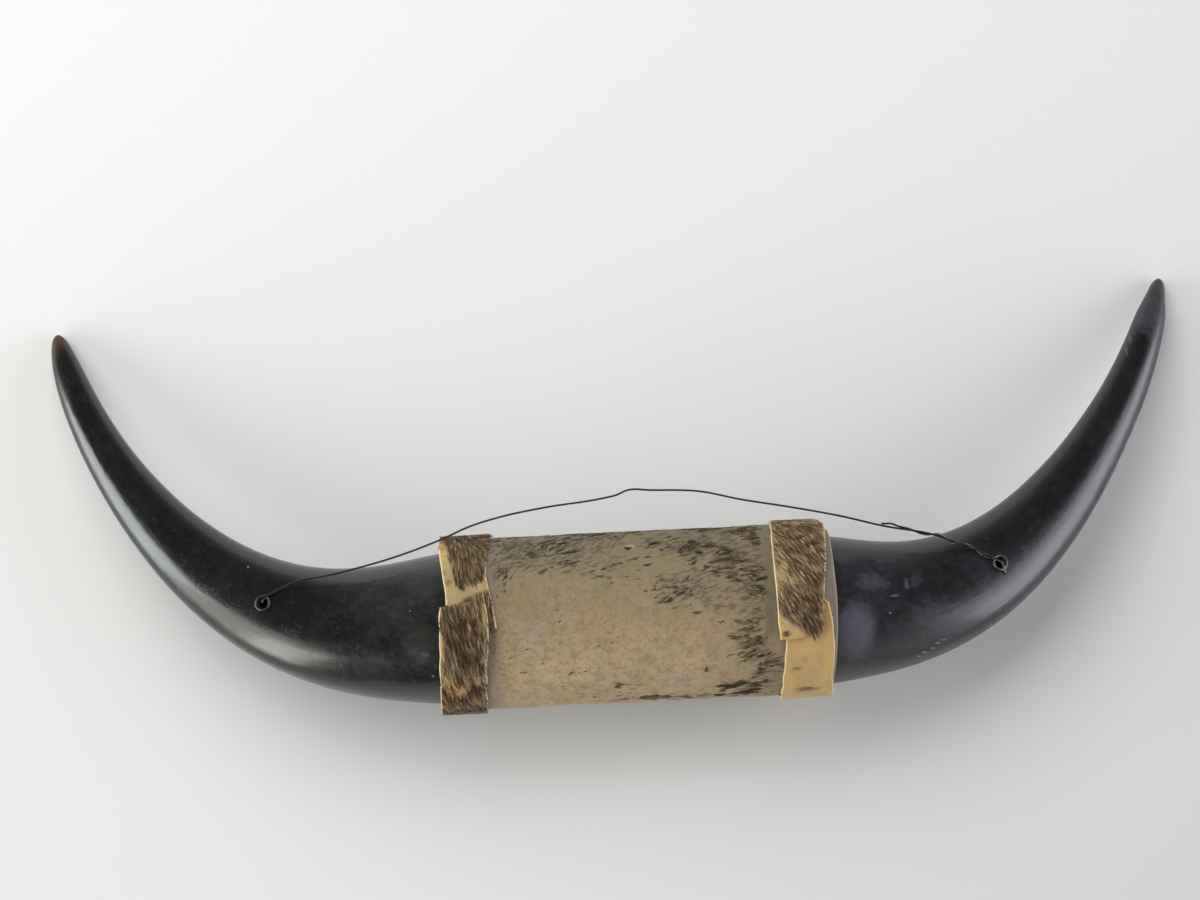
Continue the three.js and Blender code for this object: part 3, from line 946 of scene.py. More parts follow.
def hole_frame(horn, ridge_height):
    """The drilled hole's mouth, and the right, +Y-ward and outward directions there."""
    place, angle = horn["hole"]
    t = np.array([place - 0.004, place + 0.004, place, place, place])
    turn = np.array([angle, angle, angle - 1, angle + 1, angle])
    spots = horn_points(horn, ridge_height, t, horn_radius(horn, t), turn)
    outward = unit(np.cross(spots[1] - spots[0], spots[3] - spots[2]))
    outward *= np.sign(outward[2])
    right = unit(np.array([1.0, 0, 0]) - outward * outward[0])
    return spots[4], right, np.cross(outward, right), outward


def around_hole(hole, places):
    """Points from places in the hole's own plane, in millimetres."""
    mouth, right, forward, outward = hole
    places = np.asarray(places, float) * MM
    return mouth + places[:, :1] * right + places[:, 1:2] * forward + places[:, 2:] * outward


def horn_piece(name, horn, ridge_height):
    """The horn's skin: rings along the centreline from the socket's floor over the base to the
    tip, closer together at the drilled hole, whose wall is the surface pushed in round its mouth."""
    place, angle = horn["hole"]
    length = horn["length"]
    mouth, _, _, outward = hole_frame(horn, ridge_height)
    near = np.linspace(-1, 1, HOLE_STEPS)
    rows = np.sin(np.linspace(0, np.pi / 2, HORN_ROWS))[:-1]
    rows = rows[abs(rows - place) > 1.05 * HOLE_REACH / length]
    rows = np.sort(np.concatenate([rows, place + near * HOLE_REACH / length]))
    reach = np.degrees(HOLE_REACH / horn_radius(horn, np.array(place)))
    turns = np.linspace(-90, 270, HORN_TURNS, endpoint=False)
    turns = np.sort(np.concatenate([turns[abs(turns - angle) > 1.05 * reach], angle + near * reach]))
    socket_t = np.array([SOCKET_DEPTH, SOCKET_DEPTH, 0.0]) / length
    t = np.concatenate([socket_t, rows])[:, None]
    radius = horn_radius(horn, t)
    radius[:3, 0] = [SOCKET_RADIUS * 0.3, SOCKET_RADIUS, SOCKET_RADIUS]
    points = horn_points(horn, ridge_height, t, radius, turns[None, :])
    skin = np.s_[3:]

    along = np.broadcast_to(t * length, points.shape[:2])
    turn = np.radians(turns)[None, :]
    straight = np.stack([radius * np.cos(turn), radius * np.sin(turn), along], -1)
    out = unit(points - points.mean(1, keepdims=True))
    grow = 0.045 * MM * ripple(straight * np.array([1, 1, 0.5]), 24 * MM, 3)
    grow += 0.02 * MM * ripple(straight * np.array([1, 1, 1.6]), 17 * MM, 4)
    for at, from_inside, size, depth in horn["nicks"]:
        apart = np.hypot((t - at) * length, np.radians(turns - from_inside)[None, :] * radius)
        chip = np.exp(-((apart / (size * MM)) ** 2)) * (1 + 0.5 * ripple(straight, 2.5 * MM, 5))
        grow -= depth * MM * np.clip(chip, 0, None)
    grow *= ease(1 - t, 0, 0.02)
    points[skin] += (out * grow[..., None])[skin]

    apart = points - mouth
    lift = apart @ outward
    away = np.linalg.norm(apart - lift[..., None] * outward, axis=-1)
    sunk = (1 - ease(away, HOLE_RADIUS - 0.2 * MM, HOLE_RADIUS + 0.25 * MM)) * (lift > -15 * MM)
    points -= (sunk * HOLE_DEPTH)[..., None] * outward

    flat, faces = capped_tube(points)
    ends = np.array([[0, 0, SOCKET_DEPTH], [0, 0, length]])
    attributes = {
        "straightened": np.concatenate([straight.reshape(-1, 3), ends]),
        "grown": np.concatenate([np.broadcast_to(t, along.shape).ravel(), [0, 1]]),
        "painted_shade_hole": np.concatenate([sunk.ravel(), [0, 0]]),
    }
    return make_piece(name, flat, faces, attributes)


def horn_material(name, horn, colour, dust):
    """Polished black horn: dark fibres along its length, a dust film that is thicker near the base, specks,
    scratches and dusty marks that are also duller, of which one by the right horn's base is also a painted
    bluish sheen, painted shade in the drilled hole, and a worn tip."""
    material, graph, shader = new_material(name)
    straight = graph.attribute("straightened", "Vector")
    grown = graph.attribute("grown")
    fibres = graph.group("Streaks", straight, Stretch=(1, 1, 0.07), Scale=420.0, Low=0.42, High=0.68)
    body = graph.tint(colour, fibres, 0.5, np.array(colour) * (1.9, 1.6, 1.35))

    near_base = graph.range(grown, 0.06, 0.34, 1.0, 0.4)
    film = graph.group("Blotches", straight, Scale=26.0, Low=0.36, High=0.72)
    mottle = graph.group("Blotches", straight, Scale=210.0, Detail=5.0, Low=0.4, High=0.75)
    specks = graph.group("Blotches", straight, Scale=900.0, Detail=1.0, Low=0.72, High=0.77)
    lie = {"Turn": (0.3, 0.2, 0.0), "Stretch": (1, 1, 0.12)}
    scratches = graph.group("Scratches", straight, **lie, Scale=260.0)
    dusty = [(graph.times(film, near_base), 0.05), (graph.times(mottle, near_base), 0.05)]
    dusty += [(specks, 0.16), (scratches, 0.10)]
    place = graph.place()
    for centre, size, strength, ragged in horn["marks"]:
        edge = {"Softness": 0.7, "Ragged": ragged}
        dusty.append((graph.group("Spot", place, Centre=centre, Size=size, **edge), strength))
    # Dust, and on one right-horn mark a painted sheen, laid over the horn by each mask's strength.
    dust_and_sheen = 0.0
    for mask, strength in dusty:
        dust_and_sheen = graph.plus(dust_and_sheen, graph.times(mask, strength))
    body = graph.mix(dust_and_sheen, body, dust)

    edge = graph.plus(grown, graph.times(graph.noise(straight, 160.0, 5.0), 0.035))
    worn = graph.range(edge, 0.955, 1.005)
    tip_scratches = graph.group("Streaks", straight, Stretch=(1, 1, 0.1), Scale=900.0, Low=0.5, High=0.7)
    tip = graph.mix(tip_scratches, horn["tip_colour"], np.array(horn["tip_colour"]) * 0.35)
    body = graph.tint(body, worn, 0.6, tip)
    rough = graph.plus(graph.plus(graph.times(dust_and_sheen, 1.6), horn["polish"]), graph.times(worn, 0.3))
    normal = graph.bump(graph.noise(straight, 520.0, 4.0, 0.6), 0.12, 0.0004)
    look = {
        # Painted shade: the sunk drilled hole is coloured nearly black.
        "Base Color": graph.mix(graph.attribute("painted_shade_hole"), body, (0.004, 0.004, 0.004)),
        "Roughness": graph.math("MINIMUM", rough, 0.85),
        "IOR": 1.52,
        "Coat Weight": 0.15,
        "Coat Roughness": 0.12,
        "Normal": graph.bump(graph.plus(fibres, scratches), 0.10, 0.0003, normal),
    }
    graph.fill(shader, look)
    return material


# ---------------------------------------------------------------------------------------------
# Hide


def wrap_radius(along):
    """Radius of the middle of the hide's thickness: level over the core, drawn in at both ends."""
    radius = np.full_like(along, WRAP_RADIUS)
    for end, level, depth in WRAP_DRAWN_IN.values():
        radius -= depth * (1 - ease(abs(along - end), 0, abs(level - end)))
    return radius


def wrap_piece():
    """The hide round the roll: a sheet over place along the roll and angle, open by a narrow seam
    underneath, with lumps and creases on its outer side and a nail hole with a raised rim."""
    border = WRAP_THICKNESS / 2
    half = 180 - WRAP_SEAM_ANGLE
    edge = np.degrees(border / WRAP_RADIUS)
    angle = bordered(-half, half, 1.75, edge)[:, None]
    share = bordered(0, 1, 0.0052, border / WRAP_WIDTH)[None, :]
    left_end = edge_through(WRAP_START_ANGLES, WRAP_START_PLACES, angle)
    right_end = edge_through(WRAP_END_ANGLES, WRAP_END_PLACES, angle)
    along = left_end + share * (right_end - left_end)
    angle = np.broadcast_to(angle, along.shape)
    arc = np.radians(angle) * WRAP_RADIUS
    from_ends = np.minimum(along - left_end, right_end - along)
    from_seam = np.radians(half - abs(angle)) * WRAP_RADIUS
    half_thick = lip(np.minimum(from_ends, from_seam), WRAP_THICKNESS)

    unrolled = np.stack([along, arc, np.zeros_like(arc)], -1)
    lumps = 0.22 * MM * ripple(unrolled, 34 * MM, 11) + 0.10 * MM * ripple(unrolled, 9 * MM, 12)
    lumps += 0.05 * MM * ripple(unrolled * np.array([1.0, 2.5, 0]), 6 * MM, 13)
    creases = ease(along, 60 * MM, 78 * MM) * (1 - ease(along, 79 * MM, 84 * MM))
    lumps += 0.12 * MM * creases * ripple(unrolled * np.array([3.0, 0.8, 0]), 9 * MM, 14)
    hole_arc = math.radians(NAIL_HOLE[1]) * WRAP_RADIUS
    away = np.hypot((along - NAIL_HOLE[0]) * 0.75, arc - hole_arc)
    lumps += 0.25 * MM * np.exp(-(((away - 2.0 * MM) / (1.1 * MM)) ** 2))
    lumps -= 1.3 * MM * (1 - ease(away, NAIL_HOLE_RADIUS * 0.6, NAIL_HOLE_RADIUS * 1.3))
    lumps = np.minimum(lumps, 0.55 * MM) * ease(half_thick, 0, border)

    middle = wrap_radius(along)
    attributes = {
        "unrolled": unrolled,
        "cut_edge": 1 - ease(from_ends, 0.3 * MM, 1.6 * MM),
        "worn_steep": worn_areas(along, angle, True),
        "worn_level": worn_areas(along, angle, False),
    }
    outer = on_roll(along, angle, middle + half_thick + lumps)
    inner = on_roll(along, angle, middle - half_thick)
    piece = hide_piece("hide_wrap_skin", outer, inner, attributes)
    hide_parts("hide_wrap")
    return piece


def band_edges(band, angle):
    """Places of the band's left and right edges at a wound angle."""
    left = edge_through(band["left_angles"], band["left_edge"], angle) * MM
    right = edge_through(band["right_angles"], band["right_edge"], angle) * MM
    return left, right


def band_place(band, share, across):
    """Wound angle, place along the roll and radius on a band, from the share of its length and the
    share of its width. The end on top rises over the start."""
    start = through([0, 0.33, 0.67, 1], band["start"], across)
    end = through([0, 0.33, 0.67, 1], band["end"], across)
    angle = start + (end - start) * share
    left, right = band_edges(band, angle)
    along = left + (right - left) * across
    wound = abs(angle - start)
    radius = BAND_RADIUS + BAND_OVERLAP_RISE * ease(wound, OVERLAP_RISE_FROM, OVERLAP_RISE_TO)
    return angle, along, radius


def band_piece(name, band, bare):
    """A wound strip of hide: the band's place for each share of its length and width, thickened to
    both sides, with waves along its cut edges."""
    border = BAND_THICKNESS / 2
    length = abs(band["end"][0] - band["start"][0]) * math.radians(1) * BAND_RADIUS
    width = (np.mean(band["right_edge"]) - np.mean(band["left_edge"])) * MM
    share = bordered(0, 1, 1.5 * MM / length, border / length)[:, None]
    across = bordered(0, 1, 0.8 * MM / width, border / width)[None, :]
    share, across = np.broadcast_arrays(share, across)
    angle, along, radius = band_place(band, share, across)
    wave = 0.25 * MM * ripple(np.stack([angle * MM, across * 3 * MM], -1), 16 * MM, 21)
    along = along + wave * (2 * abs(across - 0.5)) ** 4
    from_edges = np.minimum(across, 1 - across) * width
    from_ends = np.minimum(share, 1 - share) * length
    half_thick = lip(np.minimum(from_edges, from_ends), BAND_THICKNESS)
    arc = np.radians(angle) * BAND_RADIUS
    unrolled = np.stack([along, arc, np.zeros_like(arc)], -1)
    lumps = 0.12 * MM * ripple(unrolled, 8 * MM, 22) + 0.06 * MM * ripple(unrolled, 3.2 * MM, 23)
    lumps *= ease(half_thick, 0, border)
    curl = band["flare"] * (2 * abs(across - 0.5)) ** 6
    outer = on_roll(along, angle, radius + half_thick + lumps + curl)
    inner = on_roll(along, angle, radius - half_thick + curl)
    for side in (outer, inner):
        side[..., 2] = np.maximum(side[..., 2], 0)
    attributes = {
        "unrolled": unrolled,
        "cut_edge": 1 - ease(from_edges, 0.3 * MM, 1.0 * MM),
        "bare": np.clip(bare(along, angle), 0, 1),
    }
    piece = hide_piece(name + "_hide", outer, inner, attributes)
    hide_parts(name)
    return piece


def blob(along, angle, centre, size):
    """Round hill of height 1 at a place on the roll: millimetres along and degrees round."""
    return np.exp(-(((along / MM - centre[0]) / size[0]) ** 2) - ((angle - centre[1]) / size[1]) ** 2)


def hills(along, angle, shapes):
    """Sum of round hills, each with its centre, size and height."""
    return sum(height * blob(along, angle, centre, size) for centre, size, height in shapes)


def left_band_bare(along, angle):
    """Where the left band has lost its hair: beside its left edge, across its lower start, and in
    spots on the end on top."""
    place = along / MM
    beside = place + 114 + 0.085 * (angle - 5)
    width = 8.5 - 0.10 * (angle - 20)
    strip = (1 - ease(beside, width - 2.5, width + 1.5)) * ease(angle, 0, 10) * (1 - ease(angle, 50, 85))
    foot = 1 - ease(abs(angle - 12 - 0.42 * (place + 113)), 3.5, 7.5)
    return strip + foot + hills(along, angle, LEFT_BARE_SPOTS)


def right_band_bare(along, angle):
    """Where the right band is bare: all of its lower start, the corner of its end on top below a
    slanting line, and patches beside its left edge."""
    place = along / MM
    lower = 1 - ease(-angle, 150, 185)
    line = -369.5 - 0.8 * (place - 85)
    corner = ease(line - angle, -1.5, 2.5) * (1 - ease(place, 100, 105)) + 1 - ease(angle, -382.6, -380.8)
    return lower + corner + hills(along, angle, RIGHT_BARE_SPOTS)


def hair_mesh(name, along, arc, height, heading, length, width, tone, surface_radius, rise, seed):
    """Hairs as tapered three-sided prisms that lie along the roll's curve. Each hair runs from its
    root by its heading in the unrolled plane, sways a little and rises towards its tip."""
    rng = np.random.default_rng(seed)
    count = len(along)
    stations = np.array([0, 0.3, 0.6, 0.85, 1.0])
    cosine, sine = np.cos(heading)[:, None], np.sin(heading)[:, None]
    reach = length[:, None] * stations
    sway = rng.normal(0, 0.10, count)[:, None] * stations**2 * length[:, None]
    lift = height[:, None] + (rng.uniform(0.1, 1.0, count) * rise * length)[:, None] * stations**1.5
    there_x = along[:, None] + reach * cosine - sway * sine
    there_y = arc[:, None] + reach * sine + sway * cosine
    radius = surface_radius[:, None] + lift
    thin = width[:, None] / 2 * np.array([0.75, 1.0, 0.9, 0.6, 0.0])
    rings = np.empty((count, 5, 3, 3))
    for k, (sideways, upward) in enumerate(((-1.0, -0.2), (1.0, -0.2), (0.0, 0.9))):
        turn = np.degrees((there_y + thin * sideways * cosine) / BAND_RADIUS)
        rings[:, :, k] = on_roll(there_x - thin * sideways * sine, turn, radius + thin * upward)
    rings[..., 2] = np.maximum(rings[..., 2], 0.05 * MM)
    body = rings[:, :4].reshape(count, 12, 3)
    tips = rings[:, 4].mean(1, keepdims=True)
    points = np.concatenate([body, tips], axis=1).reshape(-1, 3)
    cap = np.array([[9, 10, 12], [10, 11, 12], [11, 9, 12], [2, 1, 0]])
    start = (np.arange(count) * 13)[:, None, None]
    faces = [(start + quads[None]).reshape(-1, quads.shape[1]) for quads in (grid_faces(4, 3, True), cap)]
    attributes = {
        "tone": np.repeat(tone, 13),
        "tipward": np.tile(np.concatenate([np.repeat(stations[:4], 3), [1.0]]), count),
    }
    return make_piece(name, points, faces, attributes)


def band_hair(name, band, count, mean_length, bare, tone_at):
    """Hair of one band: roots spread over the strip, fewer where it is bare or covered, combed one
    way but loose in one place, and no longer than there is room for towards the right edge."""
    seed = band["seed"]
    rng = np.random.default_rng(seed)
    share = rng.uniform(0.004, 1.003, count * 4)
    across = rng.uniform(0.01, 0.99, count * 4)
    angle, along, radius = band_place(band, share, across)
    turned = 360 * np.sign(band["end"][0])
    over_left, over_right = band_edges(band, angle + turned)
    covered = abs(angle - band["start"][0]) < abs(band["end"][1] - band["start"][0]) - 362
    covered &= (along > over_left) & (along < over_right)
    clumps = ripple(laid(along, np.radians(angle) * BAND_RADIUS), 3.5 * MM, seed + 1)
    keep = rng.uniform(0, 1, len(share)) > bare(along, angle) * 1.05 + 0.22 * np.clip(clumps, 0, 1)
    under = np.cos(np.radians(angle)) < -0.985
    chosen = np.flatnonzero(keep & ~under & ~covered)[:count]
    angle, along, radius = angle[chosen], along[chosen], radius[chosen]
    arc = np.radians(angle) * BAND_RADIUS
    total = len(chosen)
    loose = blob(along, angle, band["loose"], (5, 15))
    heading = np.radians(band["combed"] + 75 * loose + rng.normal(0, 5 + 22 * loose, total))
    heading += 0.12 * ripple(laid(along, arc), 12 * MM, seed + 2)
    length = mean_length * rng.uniform(0.5, 1.3, total)
    room = band_edges(band, angle)[1] - along - 0.7 * MM
    on_side = abs(np.cos(np.radians(angle))) < 0.35
    room = np.where(on_side, np.minimum(room, 4 * MM), room) + 5 * MM * loose
    length = np.minimum(length, np.maximum(room, 0.5 * MM) / np.clip(np.cos(heading), 0.08, 1))
    tone = np.clip(tone_at(along, angle) + rng.normal(0, 0.11, total), 0, 1)
    width = rng.uniform(0.26, 0.52, total) * MM
    surface = radius + BAND_THICKNESS / 2
    height = rng.uniform(-0.1, 0.35, total) * MM
    piece = hair_mesh(name, along, arc, height, heading, length, width, tone, surface, 0.07, seed + 3)
    return piece


def left_hair_tone(along, angle):
    """0 is the darkest brown and 1 pale tan: streaks along the band, and paler and darker areas."""
    arc = np.radians(angle) * BAND_RADIUS
    streaks = ripple(laid(along, arc * 0.22), 2.2 * MM, 31)
    wide = ripple(laid(along, arc * 0.4), 8 * MM, 32)
    return 0.33 + 0.34 * streaks + 0.14 * wide + hills(along, angle, LEFT_HAIR_TONES)


def right_hair_tone(along, angle):
    """The same for the right band: its streaks lie slanting."""
    arc = np.radians(angle) * BAND_RADIUS
    across = along * 0.82 + arc * 0.57
    down = -along * 0.57 + arc * 0.82
    streaks = ripple(laid(across, down * 0.25), 2.1 * MM, 41)
    wide = ripple(laid(across, down * 0.4), 8 * MM, 42)
    return 0.38 + 0.30 * streaks + 0.14 * wide + hills(along, angle, RIGHT_HAIR_TONES)


def worn_areas(along, angle, steep):
    """How much dark hair is left round each point: the tuft areas that lie steeply, or the rest."""
    chosen = (TUFT_LIES[0] > 30) == steep
    return np.clip(1.9 * (tuft_shares(along, angle) * chosen).max(-1), 0, 1)


def tuft_shares(along, angle):
    """Share of places with a tuft, for each tuft area: exp(-r^4) of the distance r in sizes."""
    shares = []
    for centre, size, share, _, _ in TUFT_AREAS:
        squared = ((along / MM - centre[0]) / size[0]) ** 2 + ((angle - centre[1]) / size[1]) ** 2
        shares.append(share * np.exp(-(squared**2)))
    return np.stack(shares, -1)


def tuft_places(rng):
    """Places, headings and lengths of the tufts. Each cell of a loose grid over the roll has one
    tuft or none, by the areas that reach it, and takes their mean heading and length."""
    columns = np.arange(-86.5, 82, TUFT_GAP_ALONG)
    along, angle = np.meshgrid(columns, np.arange(-168, 172, TUFT_GAP_ROUND))
    along = along.ravel() + rng.uniform(-0.5, 0.5, along.size) * TUFT_GAP_ALONG
    angle = angle.ravel() + rng.uniform(-0.6, 0.6, along.size) * TUFT_GAP_ROUND
    weights = tuft_shares(along * MM, angle) + 1e-9
    headings, lengths = (weights @ TUFT_LIES.T / weights.sum(-1, keepdims=True)).T
    from_hole = np.hypot(along * MM - NAIL_HOLE[0], np.radians(angle - NAIL_HOLE[1]) * WRAP_RADIUS)
    clumps = 1 + 0.14 * ripple(laid(along, angle), 17, 57)
    keep = rng.uniform(0, 1, len(along)) < np.minimum(weights.max(-1) * clumps, 0.95)
    end = np.where(angle < -22, 81.5, 74.5)
    keep &= (from_hole > 6 * MM) & (along < end) & (along > -87)
    headings = headings + rng.normal(0, 11, len(along))
    lengths = lengths * rng.lognormal(0, 0.38, len(along))
    return along[keep], angle[keep], headings[keep], lengths[keep]


def wrap_tufts(name, half, seed):
    """One half of the worn hair on the roll: each tuft is a thin spindle of hairs that lie nearly
    one way, darker at the lower right."""
    places = tuft_places(np.random.default_rng(seed))
    along, angle, lie, long = (values[half::2] for values in places)
    rng = np.random.default_rng(seed + half + 1)
    hairs = np.maximum((long * 1.15).astype(int), 3)
    tuft = np.repeat(np.arange(len(along)), hairs)
    total = len(tuft)
    turn = np.radians(lie[tuft])
    share_along = rng.uniform(-0.5, 0.15, total)
    forth = share_along * long[tuft] * MM
    aside = rng.normal(0, 0.10, total) * long[tuft] * MM * (1 - abs(share_along))
    x = along[tuft] * MM + forth * np.cos(turn) - aside * np.sin(turn)
    y = np.radians(angle[tuft]) * BAND_RADIUS + forth * np.sin(turn) + aside * np.cos(turn)
    heading = turn + np.radians(rng.normal(0, 7, total))
    length = rng.uniform(0.35, 0.7, total) * long[tuft] * MM
    width = rng.uniform(0.24, 0.48, total) * MM
    tone = np.clip(rng.normal(0.34, 0.16, total) + rng.normal(0, 0.24, len(along))[tuft], 0, 1)
    tone *= 1 - 0.7 * ease(along[tuft], 45, 60) * (1 - ease(angle[tuft], -40, -15))
    surface = wrap_radius(x) + WRAP_THICKNESS / 2
    height = rng.uniform(-0.12, 0.06, total) * MM
    piece = hair_mesh(name, x, y, height, heading, length, width, tone, surface, 0.03, seed + 1)
    return piece


def bald_hide_material(colour):
    """Bald hide: beige with pink, yellow and grey areas, dark hair roots that run one way, stains of worn
    hair, and fine pores in its bump. Painted shade, with some greying of the hide's own colour, darkens it
    towards the back; painted shade also darkens it beside the left band and in the nail hole, and painted
    light brightens it towards -Y."""
    material, graph, shader = new_material("bald_hide")
    flat = graph.attribute("unrolled", "Vector")
    colour = np.array(colour)
    pink = graph.group("Blotches", flat, Scale=70.0, Detail=4.0, Low=0.45, High=0.6)
    tan = graph.tint(colour, pink, 0.55, colour * (1.12, 0.93, 0.88))
    moved = graph.vector("ADD", flat, (0.37, 0.11, 0.05))
    olive = graph.group("Blotches", moved, Scale=85.0, Detail=4.0, Low=0.46, High=0.62)
    tan = graph.tint(tan, olive, 0.6, colour * (0.84, 0.92, 0.70))
    tints = [(*spot, colour * change) for *spot, change in WRAP_TINTS]
    tan = graph.spots(tan, flat, tints, Softness=0.9, Ragged=1.6, Grain=110.0)

    parts = graph.parts(flat)
    # Partly the hide's greyer colour and partly painted shade: darker and bluer towards the back (+Y).
    back = graph.range(parts["Y"], -0.010, 0.045)
    tan = graph.mix(back, tan, (0.70, 0.77, 0.84), "MULTIPLY")
    # Painted light: the hide is made half again as light towards -Y.
    painted_light_front = graph.range(parts["Y"], -0.040, 0.004, 1.0, 0.0)
    tan = graph.mix(painted_light_front, tan, (1.50, 1.51, 1.46), "MULTIPLY")
    tan = graph.tint(tan, graph.range(parts["X"], 0.02, 0.075), 0.45, colour * (0.70, 0.66, 0.70))
    # Painted shade: the hide beside the left band is darker and violet-grey.
    left = graph.less(1.0, graph.range(parts["X"], -0.088, -0.079))
    tan = graph.tint(tan, left, 0.5, (0.20, 0.165, 0.16))
    wander = graph.times(graph.noise(flat, 180.0, 4.0), 0.004)
    strip = graph.range(graph.plus(parts["X"], wander), 0.0745, 0.0775)
    strip = graph.times(strip, graph.range(parts["Y"], -0.028, -0.014, 0.25, 1.0))
    tan = graph.tint(tan, strip, 0.9, (0.150, 0.130, 0.080))
    tan = graph.mix(graph.range(parts["X"], 0.100, 0.104), tan, (0.185, 0.158, 0.122))

    areas = graph.noise(flat, 130.0, 6.0, 0.7)
    tan = graph.mix(graph.range(areas, 0.47, 0.62, 0.0, 0.42), tan, colour * (0.62, 0.64, 0.54))
    mottle = graph.noise(flat, 340.0, 6.0, 0.75)
    tan = graph.mix(graph.range(mottle, 0.47, 0.66, 0.0, 0.5), tan, colour * (0.48, 0.48, 0.42))
    dark = graph.times(graph.range(graph.noise(flat, 600.0, 4.0, 0.7), 0.60, 0.72), 0.12)
    for key, heading in (("worn_steep", -50), ("worn_level", -15)):
        worn = graph.attribute(key)
        tan = graph.tint(tan, worn, 0.20, colour * (0.58, 0.60, 0.62))
        level = graph.less(0.60, graph.times(worn, 0.13))
        lie = {"Turn": (0, 0, math.radians(heading)), "Stretch": (0.32, 1, 1)}
        levels = {"Low": level, "High": graph.plus(level, 0.06)}
        streaks = graph.group("Streaks", flat, **lie, Scale=450.0, **levels)
        strength = graph.plus(graph.times(worn, 0.50), 0.20)
        dark = graph.math("MAXIMUM", dark, graph.times(streaks, strength))
    clear = graph.less(1.0, graph.times(strip, 0.9))
    tan = graph.tint(tan, dark, clear, (0.060, 0.045, 0.032))
    grain = graph.noise(flat, 1500.0, 3.0, 0.7)
    tan = graph.mix(graph.range(grain, 0.3, 0.75, 0.0, 0.25), tan, colour * 0.5)
    tan = graph.spots(tan, flat, WRAP_SPOTS, Softness=0.6, Ragged=0.7)
    pores = graph.node("ShaderNodeTexVoronoi", {"Vector": flat, "Scale": 900.0}).outputs["Distance"]
    normal = graph.bump(graph.plus(graph.noise(flat, 240.0, 5.0, 0.65), grain), 0.35, 0.0006)
    look = {
        "Base Color": graph.tint(tan, graph.attribute("cut_edge"), 0.8, (0.27, 0.22, 0.16)),
        "Roughness": graph.range(grain, 0.2, 0.8, 0.6, 0.78),
        "IOR": 1.45,
        "Normal": graph.bump(graph.plus(pores, mottle), 0.25, 0.0004, normal),
    }
    graph.fill(shader, look)
    return material


def haired_hide_material(name, skin, rawhide):
    """The bands' skin: tan under the hair, yellow rawhide with brown stains where it is bare, and
    cream along its cut edges."""
    material, graph, shader = new_material(name)
    flat = graph.attribute("unrolled", "Vector")
    rawhide = np.array(rawhide)
    wide = graph.group("Blotches", flat, Scale=55.0, Detail=4.0, Low=0.4, High=0.65)
    yellow = graph.mix(wide, rawhide, rawhide * (0.88, 0.9, 1.25))
    amber = graph.group("Blotches", flat, Scale=120.0, Detail=4.0, Low=0.5, High=0.72)
    yellow = graph.tint(yellow, amber, 0.5, rawhide * (0.80, 0.66, 0.5))
    stains = graph.group("Blotches", flat, Scale=150.0, Detail=5.0, Low=0.62, High=0.7)
    yellow = graph.tint(yellow, stains, 0.65, (0.12, 0.055, 0.02))
    yellow = graph.spots(yellow, flat, BAND_SPOTS, Softness=0.8, Ragged=1.4)
    base = graph.mix(graph.attribute("bare"), skin, yellow)
    fine = graph.noise(flat, 1400.0, 3.0, 0.7)
    base = graph.mix(graph.range(fine, 0.35, 0.75, 0.0, 0.25), base, (0.16, 0.10, 0.05))
    normal = graph.bump(graph.noise(flat, 260.0, 5.0, 0.6), 0.4, 0.0006)
    look = {
        "Base Color": graph.tint(base, graph.attribute("cut_edge"), 0.85, (0.60, 0.49, 0.30)),
        "Roughness": graph.range(wide, 0.0, 1.0, 0.5, 0.66),
        "Subsurface Weight": 0.08,
        "Subsurface Radius": (0.0012, 0.0007, 0.0004),
        "Normal": graph.bump(fine, 0.2, 0.0003, normal),
    }
    graph.fill(shader, look)
    return material


def hair_material(name, dark, pale):
    """Hair: each strand's own tone picks its colour between dark and pale, paler towards its tip,
    and it is rust-brown in one place."""
    material, graph, shader = new_material(name)
    tipward = graph.times(graph.less(graph.attribute("tipward"), 0.4), 0.12)
    middle = np.array(dark) * 1.4 + np.array(pale) * 0.16
    stops = [(0.0, dark), (1.0, pale), (0.45, middle)]
    colour = graph.ramp(graph.plus(graph.attribute("tone"), tipward), stops)
    centre, size, share, tint = RUSTY_HAIR
    rusty = graph.group("Spot", graph.place(), Centre=centre, Size=size, Softness=0.7, Ragged=1.2)
    colour = graph.tint(colour, rusty, share, tint, "MULTIPLY")
    graph.fill(shader, {"Base Color": colour, "Roughness": 0.6, "Specular IOR Level": 0.25})
    return material


# ---------------------------------------------------------------------------------------------
# Wire, tacks and core


def hole_ring(start, end, lifts):
    """A turn of wire round a hole, from one angle to another, in the plane of its mouth."""
    turns = np.radians(np.linspace(start, end, len(lifts)))
    return np.stack([RING_RADIUS * np.cos(turns), RING_RADIUS * np.sin(turns), lifts], -1)


def wire_path(ridge_height):
    """The wire's line: up out of the left hole, once round its mouth, over to the right horn, once
    round that hole's mouth, and across it to a short tail."""
    left, right = (hole_frame(HORNS[name], ridge_height) for name in ("left_horn", "right_horn"))
    left_ring = hole_ring(25, -280, np.linspace(0.75, 1.75, 15))
    right_lifts = np.concatenate([np.linspace(1.2, 0.75, 5), np.linspace(0.75, 1.9, 11)])
    start = around_hole(left, np.concatenate([LEFT_HOLE_END, left_ring]))
    end = around_hole(right, np.concatenate([hole_ring(125, -195, right_lifts), RIGHT_TAIL]))
    route = np.array(WIRE_ROUTE) * MM + np.array([ROLL[0], ROLL[1], 0])
    return np.concatenate([start, route, end])


